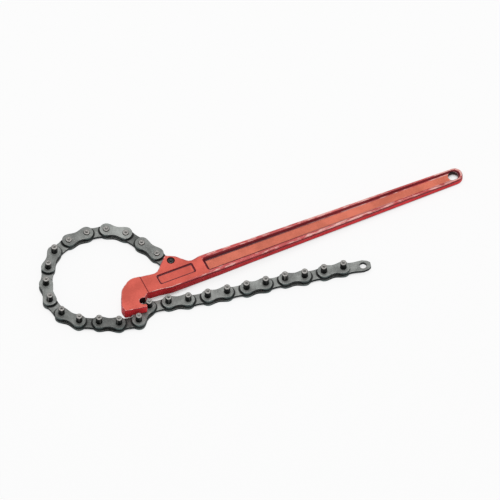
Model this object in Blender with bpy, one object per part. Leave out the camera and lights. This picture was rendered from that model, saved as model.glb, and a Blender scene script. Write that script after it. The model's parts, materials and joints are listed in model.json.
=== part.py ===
# Chain wrench with a forged handle and a one-sided plate chain, in metres, +Z up.
# The handle runs along +X. The chain lies flat, and its hooking pins stand up from it.
# Every hinge of the chain turns about a vertical pin, and an empty stands on each hinge.

import math

import bmesh
import bpy
from mathutils import Matrix, Vector

MM = 0.001

# Chain
PITCH = 15.875 * MM
PIN_DIAMETER = 5.08 * MM
OUTER_PLATE_THICKNESS = 1.8 * MM
INNER_PLATE_THICKNESS = 2.6 * MM
PLATE_SIDE_GAP = 0.3 * MM
OUTER_LOBE_HALF_WIDTH = 5.6 * MM
OUTER_LOBE_REACH = 5.25 * MM
OUTER_WAIST_HALF_WIDTH = 4.2 * MM
INNER_LOBE_HALF_WIDTH = 5.15 * MM
INNER_LOBE_REACH = 5.15 * MM
INNER_WAIST_HALF_WIDTH = 4.55 * MM
TAIL_SHOULDER_REACH = 3.7 * MM
TAIL_SHOULDER_HALF_WIDTH = 4.1 * MM
TAIL_END_REACH = 6.2 * MM
TAIL_END_HALF_WIDTH = 2.3 * MM
TAIL_HOLE_DIAMETER = 5.6 * MM
PRESS_CLEARANCE = 0.04 * MM
RUNNING_CLEARANCE = 0.1 * MM

# Pin ends
LONG_PIN_STAND = 6.4 * MM
SHORT_PIN_STAND = 1.0 * MM
PIN_CHAMFER = 0.45 * MM
PIN_DIMPLE_RADIUS = 1.3 * MM
PIN_DIMPLE_DEPTH = 0.35 * MM

# Layout of the chain at rest: heading of each link from the ear pin to the loose end
LINK_HEADINGS = (
    108, 115, 118, 142, 167, 182, 199, 227, 239, 256, 281, 307, 331, 332, 345,
    394, 350, 343, 348, 350, 349, 351, 351, 345, 351, 349, 346,
)
SHORT_PIN_LINKS = 3
HOOKED_PIN_INDEX = 16

# Head of the handle
HEAD_MID_HEIGHT = 9.1 * MM
NOSE_THICKNESS = 9.8 * MM
HEAD_THICKNESS = 8.9 * MM
NOSE_STEP_RUN = 1.2 * MM
NOTCH_PLAY = 1.15 * MM
NOTCH_DEPTH = 4.8 * MM
NOTCH_HEADING = 346
TOE_THICKNESS = 3.35 * MM
TOE_FACE_HEADING = 283
TOE_BASE_HEADING = 170
TOE_CLEARANCE = 0.5 * MM
RELIEF_MARGIN = 1.6 * MM
EDGE_CHAMFER = 0.8 * MM

# Ear slot, its lower wall and the ear pin
SLOT_PLAY = 0.35 * MM
SLOT_BACK_CLEARANCE = 0.7 * MM
SLOT_HALF_WIDTH = 8.2 * MM
LUG_FLOOR_GAP = 0.25 * MM
LUG_RADIUS = 4.7 * MM
LUG_ARC_START = -8
LUG_ARC_END = 188
HEEL_LENGTH = 7.5 * MM
HEEL_CORNER = 1.5 * MM
EAR_PIN_SINK = 0.35 * MM
COUNTERBORE_MARGIN = 0.7 * MM
COUNTERBORE_DEPTH = 0.8 * MM

# Shank: its axis leans a little, and the head is thicker than the neck
SHANK_START = 32.0 * MM
SHANK_START_DROP = 14.3 * MM
SHANK_START_HALF_WIDTH = 9.8 * MM
HEAD_END = 20.0 * MM
NECK_END = 60.0 * MM
NECK_THICKNESS = 7.4 * MM
EYE_DISTANCE = 241.3 * MM
EYE_DROP = 15.05 * MM
EYE_RADIUS = 6.5 * MM
EYE_THICKNESS = 6.35 * MM
HANGING_HOLE_DIAMETER = 8.2 * MM
HANGING_HOLE_SETBACK = 1.35 * MM

# Recess between the flanges, the same on both faces
WEB_THICKNESS = 2.8 * MM
RECESS_START = 23.3 * MM
RECESS_START_HALF_WIDTH = 6.4 * MM
RECESS_END_RADIUS = 4.75 * MM
RECESS_WALL_RUN = 1.3 * MM
RECESS_CORNER = 2.6 * MM

# Sunken panel on the upper face of the head
PANEL_LENGTH = 31.6 * MM
PANEL_WIDTH = 9.4 * MM
PANEL_CENTRE_X = -1.4 * MM
PANEL_CENTRE_DROP = 13.2 * MM
PANEL_DEPTH = 1.0 * MM
PANEL_WALL_RUN = 0.5 * MM
PANEL_CORNER = 1.4 * MM

# Corners of the head as shares of the way from the ear pin to the hooked pin, each with a rounding
EAR_CORNER_SHARES = (
    (-0.71, 0.157, 0.16),
    (-0.43, 0.230, 0.14),
    (-0.167, -0.093, 0.045),
    (0.069, -0.242, 0.028),
)
NOSE_CORNER_SHARES = (
    (0.48, 0.225, 0.16),
    (1.18, 0.10, 0.25),
    (1.52, 0.37, 0.30),
    (1.725, 0.90, 0.19),
)
THROAT_CORNER_SHARES = (
    (0.95, 0.76, 0.04),
    (0.63, 0.785, 0.14),
    (0.30, 0.85, 0.18),
)
TOE_END_SHARE = 1.10
TOE_BACK_SHARE = 1.69
TOE_ROUND_SHARE = 0.032
TOE_TIP_ROUND_SHARE = 0.022
NOTCH_LIP_ROUND_SHARE = 0.03
NOTCH_LIP_REACH_SHARE = 1.25
NOSE_STEP_SHARE = 0.925

# Facets, and edges that shade as sharp
PIN_SIDES = 12
LOBE_STEPS = 7
WAIST_STEPS = 3
EYE_STEPS = 9
LUG_STEPS = 8
NOTCH_STEPS = 8
CORNER_STEP_DEGREES = 16
ROUND_SIDES = 24
RIGHT_ANGLE = 90
SHARP_DEGREES = 35
CHAMFERED_DEGREES = 60
OVERRUN = 2.0 * MM
MOUTH_OVERRUN_SHARE = 0.5
MERGE_DISTANCE = 0.02 * MM

# Colours
PAINT_COLOUR = (0.60, 0.09, 0.06)
PAINT_ROUGHNESS = 0.45
STEEL_ROUGHNESS = 0.42
STEEL_METALLIC = 0.85
INNER_PLATE_GREY = 0.20
OUTER_PLATE_GREY = 0.23
HOOK_PIN_GREY = 0.30
EAR_PIN_GREY = 0.12

PIN_RADIUS = PIN_DIAMETER / 2
INNER_LEVEL = OUTER_PLATE_THICKNESS + PLATE_SIDE_GAP
UPPER_LEVEL = INNER_LEVEL + INNER_PLATE_THICKNESS + PLATE_SIDE_GAP
CHAIN_HEIGHT = UPPER_LEVEL + OUTER_PLATE_THICKNESS
PIVOT_HEIGHT = INNER_LEVEL + INNER_PLATE_THICKNESS / 2


def clear_scene():
    for item in list(bpy.data.objects):
        bpy.data.objects.remove(item, do_unlink=True)


def make_material(name, colour, roughness, metallic):
    material = bpy.data.materials.new(name)
    material.use_nodes = True
    shader = material.node_tree.nodes["Principled BSDF"]
    shader.inputs["Base Color"].default_value = (*colour, 1.0)
    shader.inputs["Roughness"].default_value = roughness
    shader.inputs["Metallic"].default_value = metallic
    return material


def paint_material(name):
    return make_material(name, PAINT_COLOUR, PAINT_ROUGHNESS, 0)


def steel_material(name, grey):
    return make_material(name, (grey, grey, grey), STEEL_ROUGHNESS, STEEL_METALLIC)


def direction(degrees):
    return Vector((math.cos(math.radians(degrees)), math.sin(math.radians(degrees))))


def arc(centre, radius, start, end, steps):
    turn = (end - start) / steps
    return [Vector(centre) + radius * direction(start + turn * i) for i in range(steps + 1)]


def circle(centre, radius, sides):
    return arc(centre, radius, 0, 360 - 360 / sides, sides - 1)


def hole(centre, shaft_radius, clearance, sides):
    # The flats of the hole clear the shaft, whichever way the shaft is turned
    return circle(centre, (shaft_radius + clearance) / math.cos(math.pi / sides), sides)


def rounded(corners):
    # Corners are (place, radius), and each becomes an arc that touches both of its edges
    points = []
    for index, (place, radius) in enumerate(corners):
        before = (corners[index - 1][0] - place).normalized()
        after = (corners[(index + 1) % len(corners)][0] - place).normalized()
        spread = before.angle(after)
        turn = math.pi - spread
        steps = max(1, round(math.degrees(turn) / CORNER_STEP_DEGREES))
        if radius == 0 or turn < math.radians(1):
            points.append(place)
            continue
        tangent = radius / math.tan(spread / 2)
        middle = place + (before + after).normalized() * radius / math.sin(spread / 2)
        first = place + before * tangent - middle
        last = place + after * tangent - middle
        sweep = math.atan2(first.x * last.y - first.y * last.x, first.dot(last))
        for step in range(steps + 1):
            spoke = Matrix.Rotation(sweep * step / steps, 2) @ first
            points.append(middle + spoke)
    return points


def loop(bm, points, height):
    return [bm.verts.new((point.x, point.y, height)) for point in points]


def wall(bm, lower, upper):
    for index in range(len(lower)):
        following = (index + 1) % len(lower)
        bm.faces.new((lower[index], lower[following], upper[following], upper[index]))


def fill(bm, loops):
    edges = []
    for verts in loops:
        for index, vert in enumerate(verts):
            pair = (vert, verts[(index + 1) % len(verts)])
            edges.append(bm.edges.get(pair) or bm.edges.new(pair))
    bmesh.ops.triangle_fill(bm, edges=edges, use_beauty=True)


def add_prism(bm, outlines, low, high):
    # The first outline is the outside, and the others are holes through it
    lower = [loop(bm, points, low) for points in outlines]
    upper = [loop(bm, points, high) for points in outlines]
    for below, above in zip(lower, upper):
        wall(bm, below, above)
    fill(bm, lower)
    fill(bm, upper)


def add_pin_top(bm, verts, centre, height):
    # Side, chamfer and dimpled end of a pin, from a ring of vertices up to its full height
    shoulder = loop(bm, circle(centre, PIN_RADIUS, PIN_SIDES), height - PIN_CHAMFER)
    rim = loop(bm, circle(centre, PIN_RADIUS - PIN_CHAMFER, PIN_SIDES), height)
    lip = loop(bm, circle(centre, PIN_DIMPLE_RADIUS, PIN_SIDES), height)
    wall(bm, verts, shoulder)
    wall(bm, shoulder, rim)
    wall(bm, rim, lip)
    tip = bm.verts.new((centre[0], centre[1], height - PIN_DIMPLE_DEPTH))
    for index in range(PIN_SIDES):
        bm.faces.new((lip[index], lip[(index + 1) % PIN_SIDES], tip))


def finish_object(name, bm, material, parent=None):
    bmesh.ops.recalc_face_normals(bm, faces=bm.faces)
    mesh = bpy.data.meshes.new(name)
    bm.to_mesh(mesh)
    bm.free()
    mesh.materials.append(material)
    mesh.shade_smooth()
    mesh.set_sharp_from_angle(angle=math.radians(SHARP_DEGREES))
    item = bpy.data.objects.new(name, mesh)
    item.parent = parent
    bpy.context.collection.objects.link(item)
    return item


def make_empty(name, place, turn, parent=None):
    empty = bpy.data.objects.new(name, None)
    empty.empty_display_size = PITCH / 2
    empty.location = place
    empty.rotation_euler = turn
    empty.parent = parent
    bpy.context.collection.objects.link(empty)
    return empty


def lobe_arc(half_width, reach):
    # A quarter of an ellipse, from the tip of a lobe to its widest place beside the pin
    turns = [math.pi / 2 * step / LOBE_STEPS for step in range(LOBE_STEPS + 1)]
    return [Vector((-reach * math.cos(turn), half_width * math.sin(turn))) for turn in turns]


def waist_curve(half_width, waist):
    # Half a wave, from the widest place of a lobe to the middle of its plate
    points = []
    for step in range(1, WAIST_STEPS + 1):
        share = step / WAIST_STEPS
        fall = (1 - math.cos(math.pi * share)) / 2
        points.append(Vector((PITCH / 2 * share, half_width + (waist - half_width) * fall)))
    return points


def with_other_side(top):
    # Points on the axis of the plate are not repeated
    return top + [Vector((point.x, -point.y)) for point in reversed(top) if point.y > MERGE_DISTANCE]


def plate_outline(half_width, reach, waist):
    # Two lobes round the pins, joined by a waist that is narrower than they are
    near = lobe_arc(half_width, reach) + waist_curve(half_width, waist)
    far = [Vector((PITCH - point.x, point.y)) for point in reversed(near[:-1])]
    return with_other_side(near + far)


def tail_outline():
    # The loose end link: a round lobe on its pin and a narrowed, blunt end past its hole
    waist = waist_curve(INNER_LOBE_HALF_WIDTH, INNER_WAIST_HALF_WIDTH)
    top = lobe_arc(INNER_LOBE_HALF_WIDTH, INNER_LOBE_REACH) + waist
    top += [Vector((PITCH - point.x, point.y)) for point in reversed(waist[:-1])]
    top.append(Vector((PITCH, INNER_LOBE_HALF_WIDTH)))
    top.append(Vector((PITCH + TAIL_SHOULDER_REACH, TAIL_SHOULDER_HALF_WIDTH)))
    top.append(Vector((PITCH + TAIL_END_REACH, TAIL_END_HALF_WIDTH)))
    return with_other_side(top)


def link_ends():
    return (Vector((0, 0)), Vector((PITCH, 0)))


def make_inner_link(name, hinge, last):
    near, far = link_ends()
    if last:
        outline = tail_outline()
        far_hole = hole(far, TAIL_HOLE_DIAMETER / 2, 0, PIN_SIDES)
    else:
        outline = plate_outline(INNER_LOBE_HALF_WIDTH, INNER_LOBE_REACH, INNER_WAIST_HALF_WIDTH)
        far_hole = hole(far, PIN_RADIUS, RUNNING_CLEARANCE, PIN_SIDES)
    near_hole = hole(near, PIN_RADIUS, RUNNING_CLEARANCE, PIN_SIDES)
    bm = bmesh.new()
    add_prism(bm, [outline, near_hole, far_hole], INNER_LEVEL, INNER_LEVEL + INNER_PLATE_THICKNESS)
    return finish_object(name, bm, steel_material(name, INNER_PLATE_GREY), hinge)


def outer_outline():
    return plate_outline(OUTER_LOBE_HALF_WIDTH, OUTER_LOBE_REACH, OUTER_WAIST_HALF_WIDTH)


def make_outer_plate(name, hinge, level):
    holes = [hole(end, PIN_RADIUS, PRESS_CLEARANCE, PIN_SIDES) for end in link_ends()]
    bm = bmesh.new()
    add_prism(bm, [outer_outline(), *holes], level, level + OUTER_PLATE_THICKNESS)
    return finish_object(name, bm, steel_material(name, OUTER_PLATE_GREY), hinge)


def make_long_pin(name, hinge, centre):
    bm = bmesh.new()
    foot = loop(bm, circle(centre, PIN_RADIUS - PIN_CHAMFER, PIN_SIDES), 0)
    heel = loop(bm, circle(centre, PIN_RADIUS, PIN_SIDES), PIN_CHAMFER)
    fill(bm, [foot])
    wall(bm, foot, heel)
    add_pin_top(bm, heel, centre, CHAIN_HEIGHT + LONG_PIN_STAND)
    return finish_object(name, bm, steel_material(name, HOOK_PIN_GREY), hinge)


def make_riveted_link(name, hinge):
    # Both plates and both short pins of one outer link, riveted up into one piece
    bm = bmesh.new()
    outline = outer_outline()
    rings = [circle(end, PIN_RADIUS, PIN_SIDES) for end in link_ends()]
    levels = (0, OUTER_PLATE_THICKNESS, UPPER_LEVEL, CHAIN_HEIGHT)
    edges = [loop(bm, outline, level) for level in levels]
    pins = [[loop(bm, ring, level) for level in levels[1:]] for ring in rings]
    wall(bm, edges[0], edges[1])
    wall(bm, edges[2], edges[3])
    fill(bm, [edges[0]])
    for index in range(1, len(levels)):
        fill(bm, [edges[index], pins[0][index - 1], pins[1][index - 1]])
    for pin, end in zip(pins, link_ends()):
        wall(bm, pin[0], pin[1])
        add_pin_top(bm, pin[2], end, CHAIN_HEIGHT + SHORT_PIN_STAND)
    return finish_object(name, bm, steel_material(name, OUTER_PLATE_GREY), hinge)


def pin_places():
    place = Vector((0, 0))
    places = [place]
    for heading in LINK_HEADINGS:
        place = place + PITCH * direction(heading)
        places.append(place)
    return places


def make_chain():
    parent = make_empty("chain_start", (0, 0, 0), (0, 0, 0))
    roots = [parent]
    previous = 0
    for index, heading in enumerate(LINK_HEADINGS):
        offset = PITCH if index else 0
        turn = math.radians(heading - previous)
        hinge = make_empty(f"hinge_{index:02d}", (offset, 0, 0), (0, 0, turn), parent)
        number = index // 2 + 1
        if index % 2 == 0:
            last = index == len(LINK_HEADINGS) - 1
            make_inner_link(f"inner_link_{number:02d}", hinge, last)
        elif number <= SHORT_PIN_LINKS:
            make_riveted_link(f"riveted_link_{number:02d}", hinge)
        else:
            make_outer_plate(f"lower_plate_{number:02d}", hinge, 0)
            make_outer_plate(f"upper_plate_{number:02d}", hinge, UPPER_LEVEL)
            for pin, end in zip((index, index + 1), link_ends()):
                make_long_pin(f"hook_pin_{pin:02d}", hinge, end)
        parent = hinge
        previous = heading
    return roots


def head_point(share, hooked):
    # Shares run from the ear pin towards the hooked pin, along the handle and across it
    return Vector((hooked.x * share[0], hooked.y * share[1]))


def head_corner(share, hooked):
    return head_point(share, hooked), hooked.length * share[2]


def hook_corners(hooked):
    # The toe, then a round-ended notch behind the hooked pin, open towards it
    half_width = PIN_RADIUS + NOTCH_PLAY / 2
    along = direction(NOTCH_HEADING)
    across = Vector((-along.y, along.x))
    bottom = hooked - along * NOTCH_DEPTH
    mouth = (hooked.x * TOE_END_SHARE - bottom.x) / along.x
    tip = bottom - across * half_width + along * mouth
    end = tip + direction(TOE_FACE_HEADING) * TOE_THICKNESS
    base = direction(TOE_BASE_HEADING)
    back = end + base * (hooked.x * TOE_BACK_SHARE - end.x) / base.x
    lip = bottom + across * half_width + along * mouth * NOTCH_LIP_REACH_SHARE
    notch = arc(
        bottom, half_width, NOTCH_HEADING - RIGHT_ANGLE, NOTCH_HEADING - 3 * RIGHT_ANGLE, NOTCH_STEPS)
    return [
        (back, hooked.length * TOE_ROUND_SHARE),
        (end, hooked.length * TOE_ROUND_SHARE),
        (tip, hooked.length * TOE_TIP_ROUND_SHARE),
        *((point, 0) for point in notch),
        (lip, hooked.length * NOTCH_LIP_ROUND_SHARE),
    ]


def shank_axis():
    # Both ends of the middle line of the shank
    return Vector((SHANK_START, -SHANK_START_DROP)), Vector((EYE_DISTANCE, -EYE_DROP))


def tapered_end(start_half_width, end_radius, steps):
    # A round end about the eye, and the two places where its straight edges start
    start, eye = shank_axis()
    axis = eye - start
    heading = math.degrees(math.atan2(axis.y, axis.x))
    turn = RIGHT_ANGLE - math.degrees(math.asin((start_half_width - end_radius) / axis.length))
    end = arc(eye, end_radius, heading - turn, heading + turn, steps)
    across = direction(heading + RIGHT_ANGLE) * start_half_width
    return end, start + across, start - across


def handle_outline(hooked):
    end, upper, lower = tapered_end(SHANK_START_HALF_WIDTH, EYE_RADIUS, EYE_STEPS)
    corners = [(point, 0) for point in end]
    corners.append((upper, 0))
    corners += [head_corner(share, hooked) for share in EAR_CORNER_SHARES + NOSE_CORNER_SHARES]
    corners += hook_corners(hooked)
    corners += [head_corner(share, hooked) for share in THROAT_CORNER_SHARES]
    corners.append((lower, 0))
    return rounded(corners)


def thickness_stations(step):
    # Thick nose, a short step down to the head, the neck, then a steady taper to the eye
    return (
        (step - NOSE_STEP_RUN / 2, NOSE_THICKNESS / 2),
        (step + NOSE_STEP_RUN / 2, HEAD_THICKNESS / 2),
        (HEAD_END, HEAD_THICKNESS / 2),
        (NECK_END, NECK_THICKNESS / 2),
        (EYE_DISTANCE, EYE_THICKNESS / 2),
    )


def half_thickness(x, step):
    stations = thickness_stations(step)
    if x <= stations[0][0]:
        return stations[0][1]
    for (near, thick), (far, thin) in zip(stations, stations[1:]):
        if x <= far:
            return thick + (thin - thick) * (x - near) / (far - near)
    return stations[-1][1]


def hide_cutter(item):
    item.hide_render = True
    item.display_type = "WIRE"
    return item


def pocket_cutter(name, outline, run, floor, surface, side, level, parent):
    # A cutter with sloping walls: narrow at the floor of the pocket and wide at its mouth
    bm = bmesh.new()
    low = [bm.verts.new((point.x, point.y, level + side * floor)) for point in outline(run)]
    high = []
    for point in outline(-run * MOUTH_OVERRUN_SHARE):
        mouth = floor + (surface(point.x) - floor) * (1 + MOUTH_OVERRUN_SHARE)
        high.append(bm.verts.new((point.x, point.y, level + side * mouth)))
    wall(bm, low, high)
    fill(bm, [low])
    fill(bm, [high])
    return hide_cutter(finish_object(name, bm, paint_material(name), parent))


def prism_cutter(name, outline, low, high, parent):
    bm = bmesh.new()
    add_prism(bm, [outline], low, high)
    return hide_cutter(finish_object(name, bm, paint_material(name), parent))


def combine(item, other, operation):
    modifier = item.modifiers.new(other.name, "BOOLEAN")
    modifier.operation = operation
    modifier.object = other
    modifier.solver = "EXACT"


def box_outline(left, right, low, high, radius):
    places = ((left, low), (right, low), (right, high), (left, high))
    return rounded([(Vector(place), radius) for place in places])


def recess_outline(inset):
    # The flanges run together round the hanging hole
    start, eye = shank_axis()
    end, _, _ = tapered_end(RECESS_START_HALF_WIDTH - inset, RECESS_END_RADIUS - inset, EYE_STEPS)
    left = RECESS_START + inset
    share = (left - SHANK_START) / (EYE_DISTANCE - SHANK_START)
    middle = start + (eye - start) * share
    half = RECESS_START_HALF_WIDTH + (RECESS_END_RADIUS - RECESS_START_HALF_WIDTH) * share - inset
    corners = [(point, 0) for point in end]
    corners.append((middle + Vector((0, half)), RECESS_CORNER - inset))
    corners.append((middle - Vector((0, half)), RECESS_CORNER - inset))
    return rounded(corners)


def panel_outline(inset):
    left = PANEL_CENTRE_X - PANEL_LENGTH / 2 + inset
    right = PANEL_CENTRE_X + PANEL_LENGTH / 2 - inset
    low = -PANEL_CENTRE_DROP - PANEL_WIDTH / 2 + inset
    high = -PANEL_CENTRE_DROP + PANEL_WIDTH / 2 - inset
    return box_outline(left, right, low, high, PANEL_CORNER)


def make_pockets(handle, tilt, level, step):
    # A long pocket on each face leaves a web between two flanges, and the panel is sunk in the head
    def surface(x):
        return half_thickness(x, step)

    web = WEB_THICKNESS / 2
    panel = HEAD_THICKNESS / 2 - PANEL_DEPTH
    pockets = (
        ("upper_recess_cutter", recess_outline, RECESS_WALL_RUN, web, 1),
        ("lower_recess_cutter", recess_outline, RECESS_WALL_RUN, web, -1),
        ("panel_cutter", panel_outline, PANEL_WALL_RUN, panel, 1),
    )
    for name, outline, run, floor, side in pockets:
        cutter = pocket_cutter(name, outline, run, floor, surface, side, level, tilt)
        combine(handle, cutter, "DIFFERENCE")


def make_hanging_hole(handle, tilt, level):
    centre = (EYE_DISTANCE - HANGING_HOLE_SETBACK, -EYE_DROP)
    outline = circle(centre, HANGING_HOLE_DIAMETER / 2, ROUND_SIDES)
    low, high = level - HEAD_THICKNESS / 2, level + HEAD_THICKNESS / 2
    combine(handle, prism_cutter("hanging_hole_cutter", outline, low, high, tilt), "DIFFERENCE")


def make_ear(handle, tilt, level):
    # The ear reaches down to the chain, and a slot through it takes the first inner link
    lug_bottom = LUG_FLOOR_GAP - PIVOT_HEIGHT
    back = INNER_LOBE_REACH + SLOT_BACK_CLEARANCE
    corners = [(point, 0) for point in arc((0, 0), LUG_RADIUS, LUG_ARC_START, LUG_ARC_END, LUG_STEPS)]
    corners.append((Vector((-LUG_RADIUS, -back - HEEL_LENGTH)), HEEL_CORNER))
    corners.append((Vector((LUG_RADIUS, -back - HEEL_LENGTH)), HEEL_CORNER))
    bm = bmesh.new()
    add_prism(bm, [rounded(corners)], lug_bottom, level)
    lug = hide_cutter(finish_object("ear_lug", bm, paint_material("ear_lug"), tilt))
    combine(handle, lug, "UNION")

    slot_half = INNER_PLATE_THICKNESS / 2 + SLOT_PLAY
    outline = box_outline(-SLOT_HALF_WIDTH, SLOT_HALF_WIDTH, -back, SLOT_HALF_WIDTH, 0)
    combine(handle, prism_cutter("slot_cutter", outline, -slot_half, slot_half, tilt), "DIFFERENCE")

    top = level + HEAD_THICKNESS / 2
    bore = hole((0, 0), PIN_RADIUS, PRESS_CLEARANCE, PIN_SIDES)
    cutter = prism_cutter("ear_bore_cutter", bore, lug_bottom - OVERRUN, top + OVERRUN, tilt)
    combine(handle, cutter, "DIFFERENCE")
    ring = circle((0, 0), PIN_RADIUS + COUNTERBORE_MARGIN, ROUND_SIDES)
    cutter = prism_cutter("counterbore_cutter", ring, top - COUNTERBORE_DEPTH, top + OVERRUN, tilt)
    combine(handle, cutter, "DIFFERENCE")

    bm = bmesh.new()
    foot = loop(bm, circle((0, 0), PIN_RADIUS - PIN_CHAMFER, PIN_SIDES), lug_bottom)
    heel = loop(bm, circle((0, 0), PIN_RADIUS, PIN_SIDES), lug_bottom + PIN_CHAMFER)
    fill(bm, [foot])
    wall(bm, foot, heel)
    add_pin_top(bm, heel, (0, 0), top - EAR_PIN_SINK)
    finish_object("ear_pin", bm, steel_material("ear_pin", EAR_PIN_GREY), tilt)


def make_toe_relief(handle, tilt, level, slope, places):
    # The underside of the toe is cut back, and the plates of the hooked link pass below it
    near, far = places[HOOKED_PIN_INDEX - 1], places[HOOKED_PIN_INDEX]
    along = (far - near).normalized()
    across = Vector((-along.y, along.x))
    margin = OUTER_LOBE_HALF_WIDTH + RELIEF_MARGIN
    start = near - along * PITCH
    end = far + along * (OUTER_LOBE_REACH + RELIEF_MARGIN)
    outline = [start + across * margin, start - across * PITCH, end - across * PITCH, end + across * margin]
    ceiling = CHAIN_HEIGHT + TOE_CLEARANCE - PIVOT_HEIGHT - abs(far.x) * math.tan(slope)
    bottom = level - NOSE_THICKNESS / 2 - OVERRUN
    cutter = prism_cutter("toe_relief_cutter", outline, bottom, ceiling, tilt)
    combine(handle, cutter, "DIFFERENCE")


def make_handle(places):
    # The handle slopes down from the head until the eye rests on the ground
    hooked = places[HOOKED_PIN_INDEX]
    slope = math.asin((HEAD_MID_HEIGHT - EYE_THICKNESS / 2) / (EYE_DISTANCE + EYE_RADIUS))
    tilt = make_empty("handle_slope", (0, 0, PIVOT_HEIGHT), (0, slope, 0))
    level = (HEAD_MID_HEIGHT - PIVOT_HEIGHT) / math.cos(slope)
    step = hooked.x * NOSE_STEP_SHARE

    bm = bmesh.new()
    add_prism(bm, [handle_outline(hooked)], -1, 1)
    for station, _ in thickness_stations(step):
        geometry = bm.verts[:] + bm.edges[:] + bm.faces[:]
        bmesh.ops.bisect_plane(bm, geom=geometry, plane_co=(station, 0, 0), plane_no=(1, 0, 0))
    bmesh.ops.remove_doubles(bm, verts=bm.verts, dist=MERGE_DISTANCE)
    for vert in bm.verts:
        vert.co.z = level + vert.co.z * half_thickness(vert.co.x, step)
    handle = finish_object("handle", bm, paint_material("handle"), tilt)

    bevel = handle.modifiers.new("edge_chamfer", "BEVEL")
    bevel.width = EDGE_CHAMFER
    bevel.segments = 1
    bevel.limit_method = "ANGLE"
    bevel.angle_limit = math.radians(CHAMFERED_DEGREES)
    make_ear(handle, tilt, level)
    make_toe_relief(handle, tilt, level, slope, places)
    make_pockets(handle, tilt, level, step)
    make_hanging_hole(handle, tilt, level)
    return tilt


def centre_on_ground(roots):
    # The origin goes to the middle of the footprint, on the ground
    bpy.context.view_layer.update()
    graph = bpy.context.evaluated_depsgraph_get()
    points = []
    for item in bpy.data.objects:
        if item.type == "MESH" and not item.hide_render:
            shape = item.evaluated_get(graph)
            points += [shape.matrix_world @ vert.co for vert in shape.data.vertices]
    low = Vector([min(point[axis] for point in points) for axis in range(3)])
    high = Vector([max(point[axis] for point in points) for axis in range(3)])
    shift = Vector((-(low.x + high.x) / 2, -(low.y + high.y) / 2, -low.z))
    for root in roots:
        root.location += shift
    bpy.context.view_layer.update()


def main():
    clear_scene()
    places = pin_places()
    roots = make_chain()
    roots.append(make_handle(places))
    centre_on_ground(roots)


main()
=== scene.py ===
import json
import math

import bmesh
import bpy
from bpy.props import FloatProperty, FloatVectorProperty, PointerProperty
from mathutils import Matrix, Vector


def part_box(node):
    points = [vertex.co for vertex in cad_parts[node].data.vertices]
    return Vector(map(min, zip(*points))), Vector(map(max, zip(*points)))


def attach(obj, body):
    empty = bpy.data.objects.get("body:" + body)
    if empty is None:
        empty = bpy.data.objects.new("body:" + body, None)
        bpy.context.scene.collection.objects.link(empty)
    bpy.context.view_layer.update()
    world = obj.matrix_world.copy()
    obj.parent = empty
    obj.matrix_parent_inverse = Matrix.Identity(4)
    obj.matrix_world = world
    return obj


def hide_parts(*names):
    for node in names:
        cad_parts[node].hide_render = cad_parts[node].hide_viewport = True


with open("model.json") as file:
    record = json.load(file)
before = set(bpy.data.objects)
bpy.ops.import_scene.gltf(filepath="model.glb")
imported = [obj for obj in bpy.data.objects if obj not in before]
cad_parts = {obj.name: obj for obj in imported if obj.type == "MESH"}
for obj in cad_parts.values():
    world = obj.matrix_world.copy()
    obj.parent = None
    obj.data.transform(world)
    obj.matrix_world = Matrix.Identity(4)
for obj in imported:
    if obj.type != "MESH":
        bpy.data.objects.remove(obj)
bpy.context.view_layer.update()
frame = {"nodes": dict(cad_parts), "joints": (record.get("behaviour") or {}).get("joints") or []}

bl_info = {
    "name": "Chain wrench",
    "version": (1, 0, 0),
    "blender": (4, 5, 0),
    "location": "View3D > Sidebar > Chain wrench",
    "description": "Dresses a packed chain wrench with its forged handle, plate chain and pins",
    "category": "Object",
}

MM = 0.001
JOINTS = sorted(frame["joints"], key=lambda joint: joint["name"])
PINS = [Vector(joint["pos_m"]) for joint in JOINTS]
LINK_BODIES = [joint["child"] for joint in JOINTS]
PITCH = (PINS[1] - PINS[0]).length
HOOKED_PIN = 16
RIVETED_LINKS = 3
FULL_TURN = 360


def node_top(node):
    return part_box(node)[1].z


def node_foot(node):
    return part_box(node)[0].z


# Heights of the chain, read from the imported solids
LOWER_TOP = node_top("lower_plate_04")
INNER_FOOT = node_foot("inner_link_02")
INNER_TOP = node_top("inner_link_02")
UPPER_FOOT = node_foot("upper_plate_04")
UPPER_TOP = node_top("upper_plate_04")
LONG_PIN_TOP = node_top("hook_pin_07")
SHORT_PIN_TOP = node_top("riveted_link_01")
PIVOT_HEIGHT = (INNER_FOOT + INNER_TOP) / 2
HANDLE_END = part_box("handle")[1].x - PINS[0].x


COLOUR = {"subtype": "COLOR", "size": 3, "min": 0, "max": 1}


class ChainSizes(bpy.types.PropertyGroup):
    pin_diameter: FloatProperty(
        name="Pin diameter", description="Across a pin of the chain", default=5.08 * MM, unit="LENGTH")
    outer_half_width: FloatProperty(
        name="Outer lobe", description="Half the width of an outer plate at a pin",
        default=5.6 * MM, unit="LENGTH")
    outer_reach: FloatProperty(
        name="Outer reach", description="Length of an outer plate past its pin",
        default=5.25 * MM, unit="LENGTH")
    outer_waist: FloatProperty(
        name="Outer waist", description="Half the width of an outer plate at its middle",
        default=4.2 * MM, unit="LENGTH")
    inner_half_width: FloatProperty(
        name="Inner lobe", description="Half the width of an inner plate at a pin",
        default=5.15 * MM, unit="LENGTH")
    inner_waist: FloatProperty(
        name="Inner waist", description="Half the width of an inner plate at its middle",
        default=4.55 * MM, unit="LENGTH")
    plate_edge: FloatProperty(
        name="Plate edge", description="Rounding that tumbling leaves on the edge of a plate",
        default=0.28 * MM, unit="LENGTH")
    tip_chamfer: FloatProperty(
        name="Tip chamfer", description="Chamfer at the end of a pin", default=0.45 * MM, unit="LENGTH")
    dimple_depth: FloatProperty(
        name="Dimple", description="Depth of the dimple in the end of a pin",
        default=0.2 * MM, unit="LENGTH")


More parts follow.
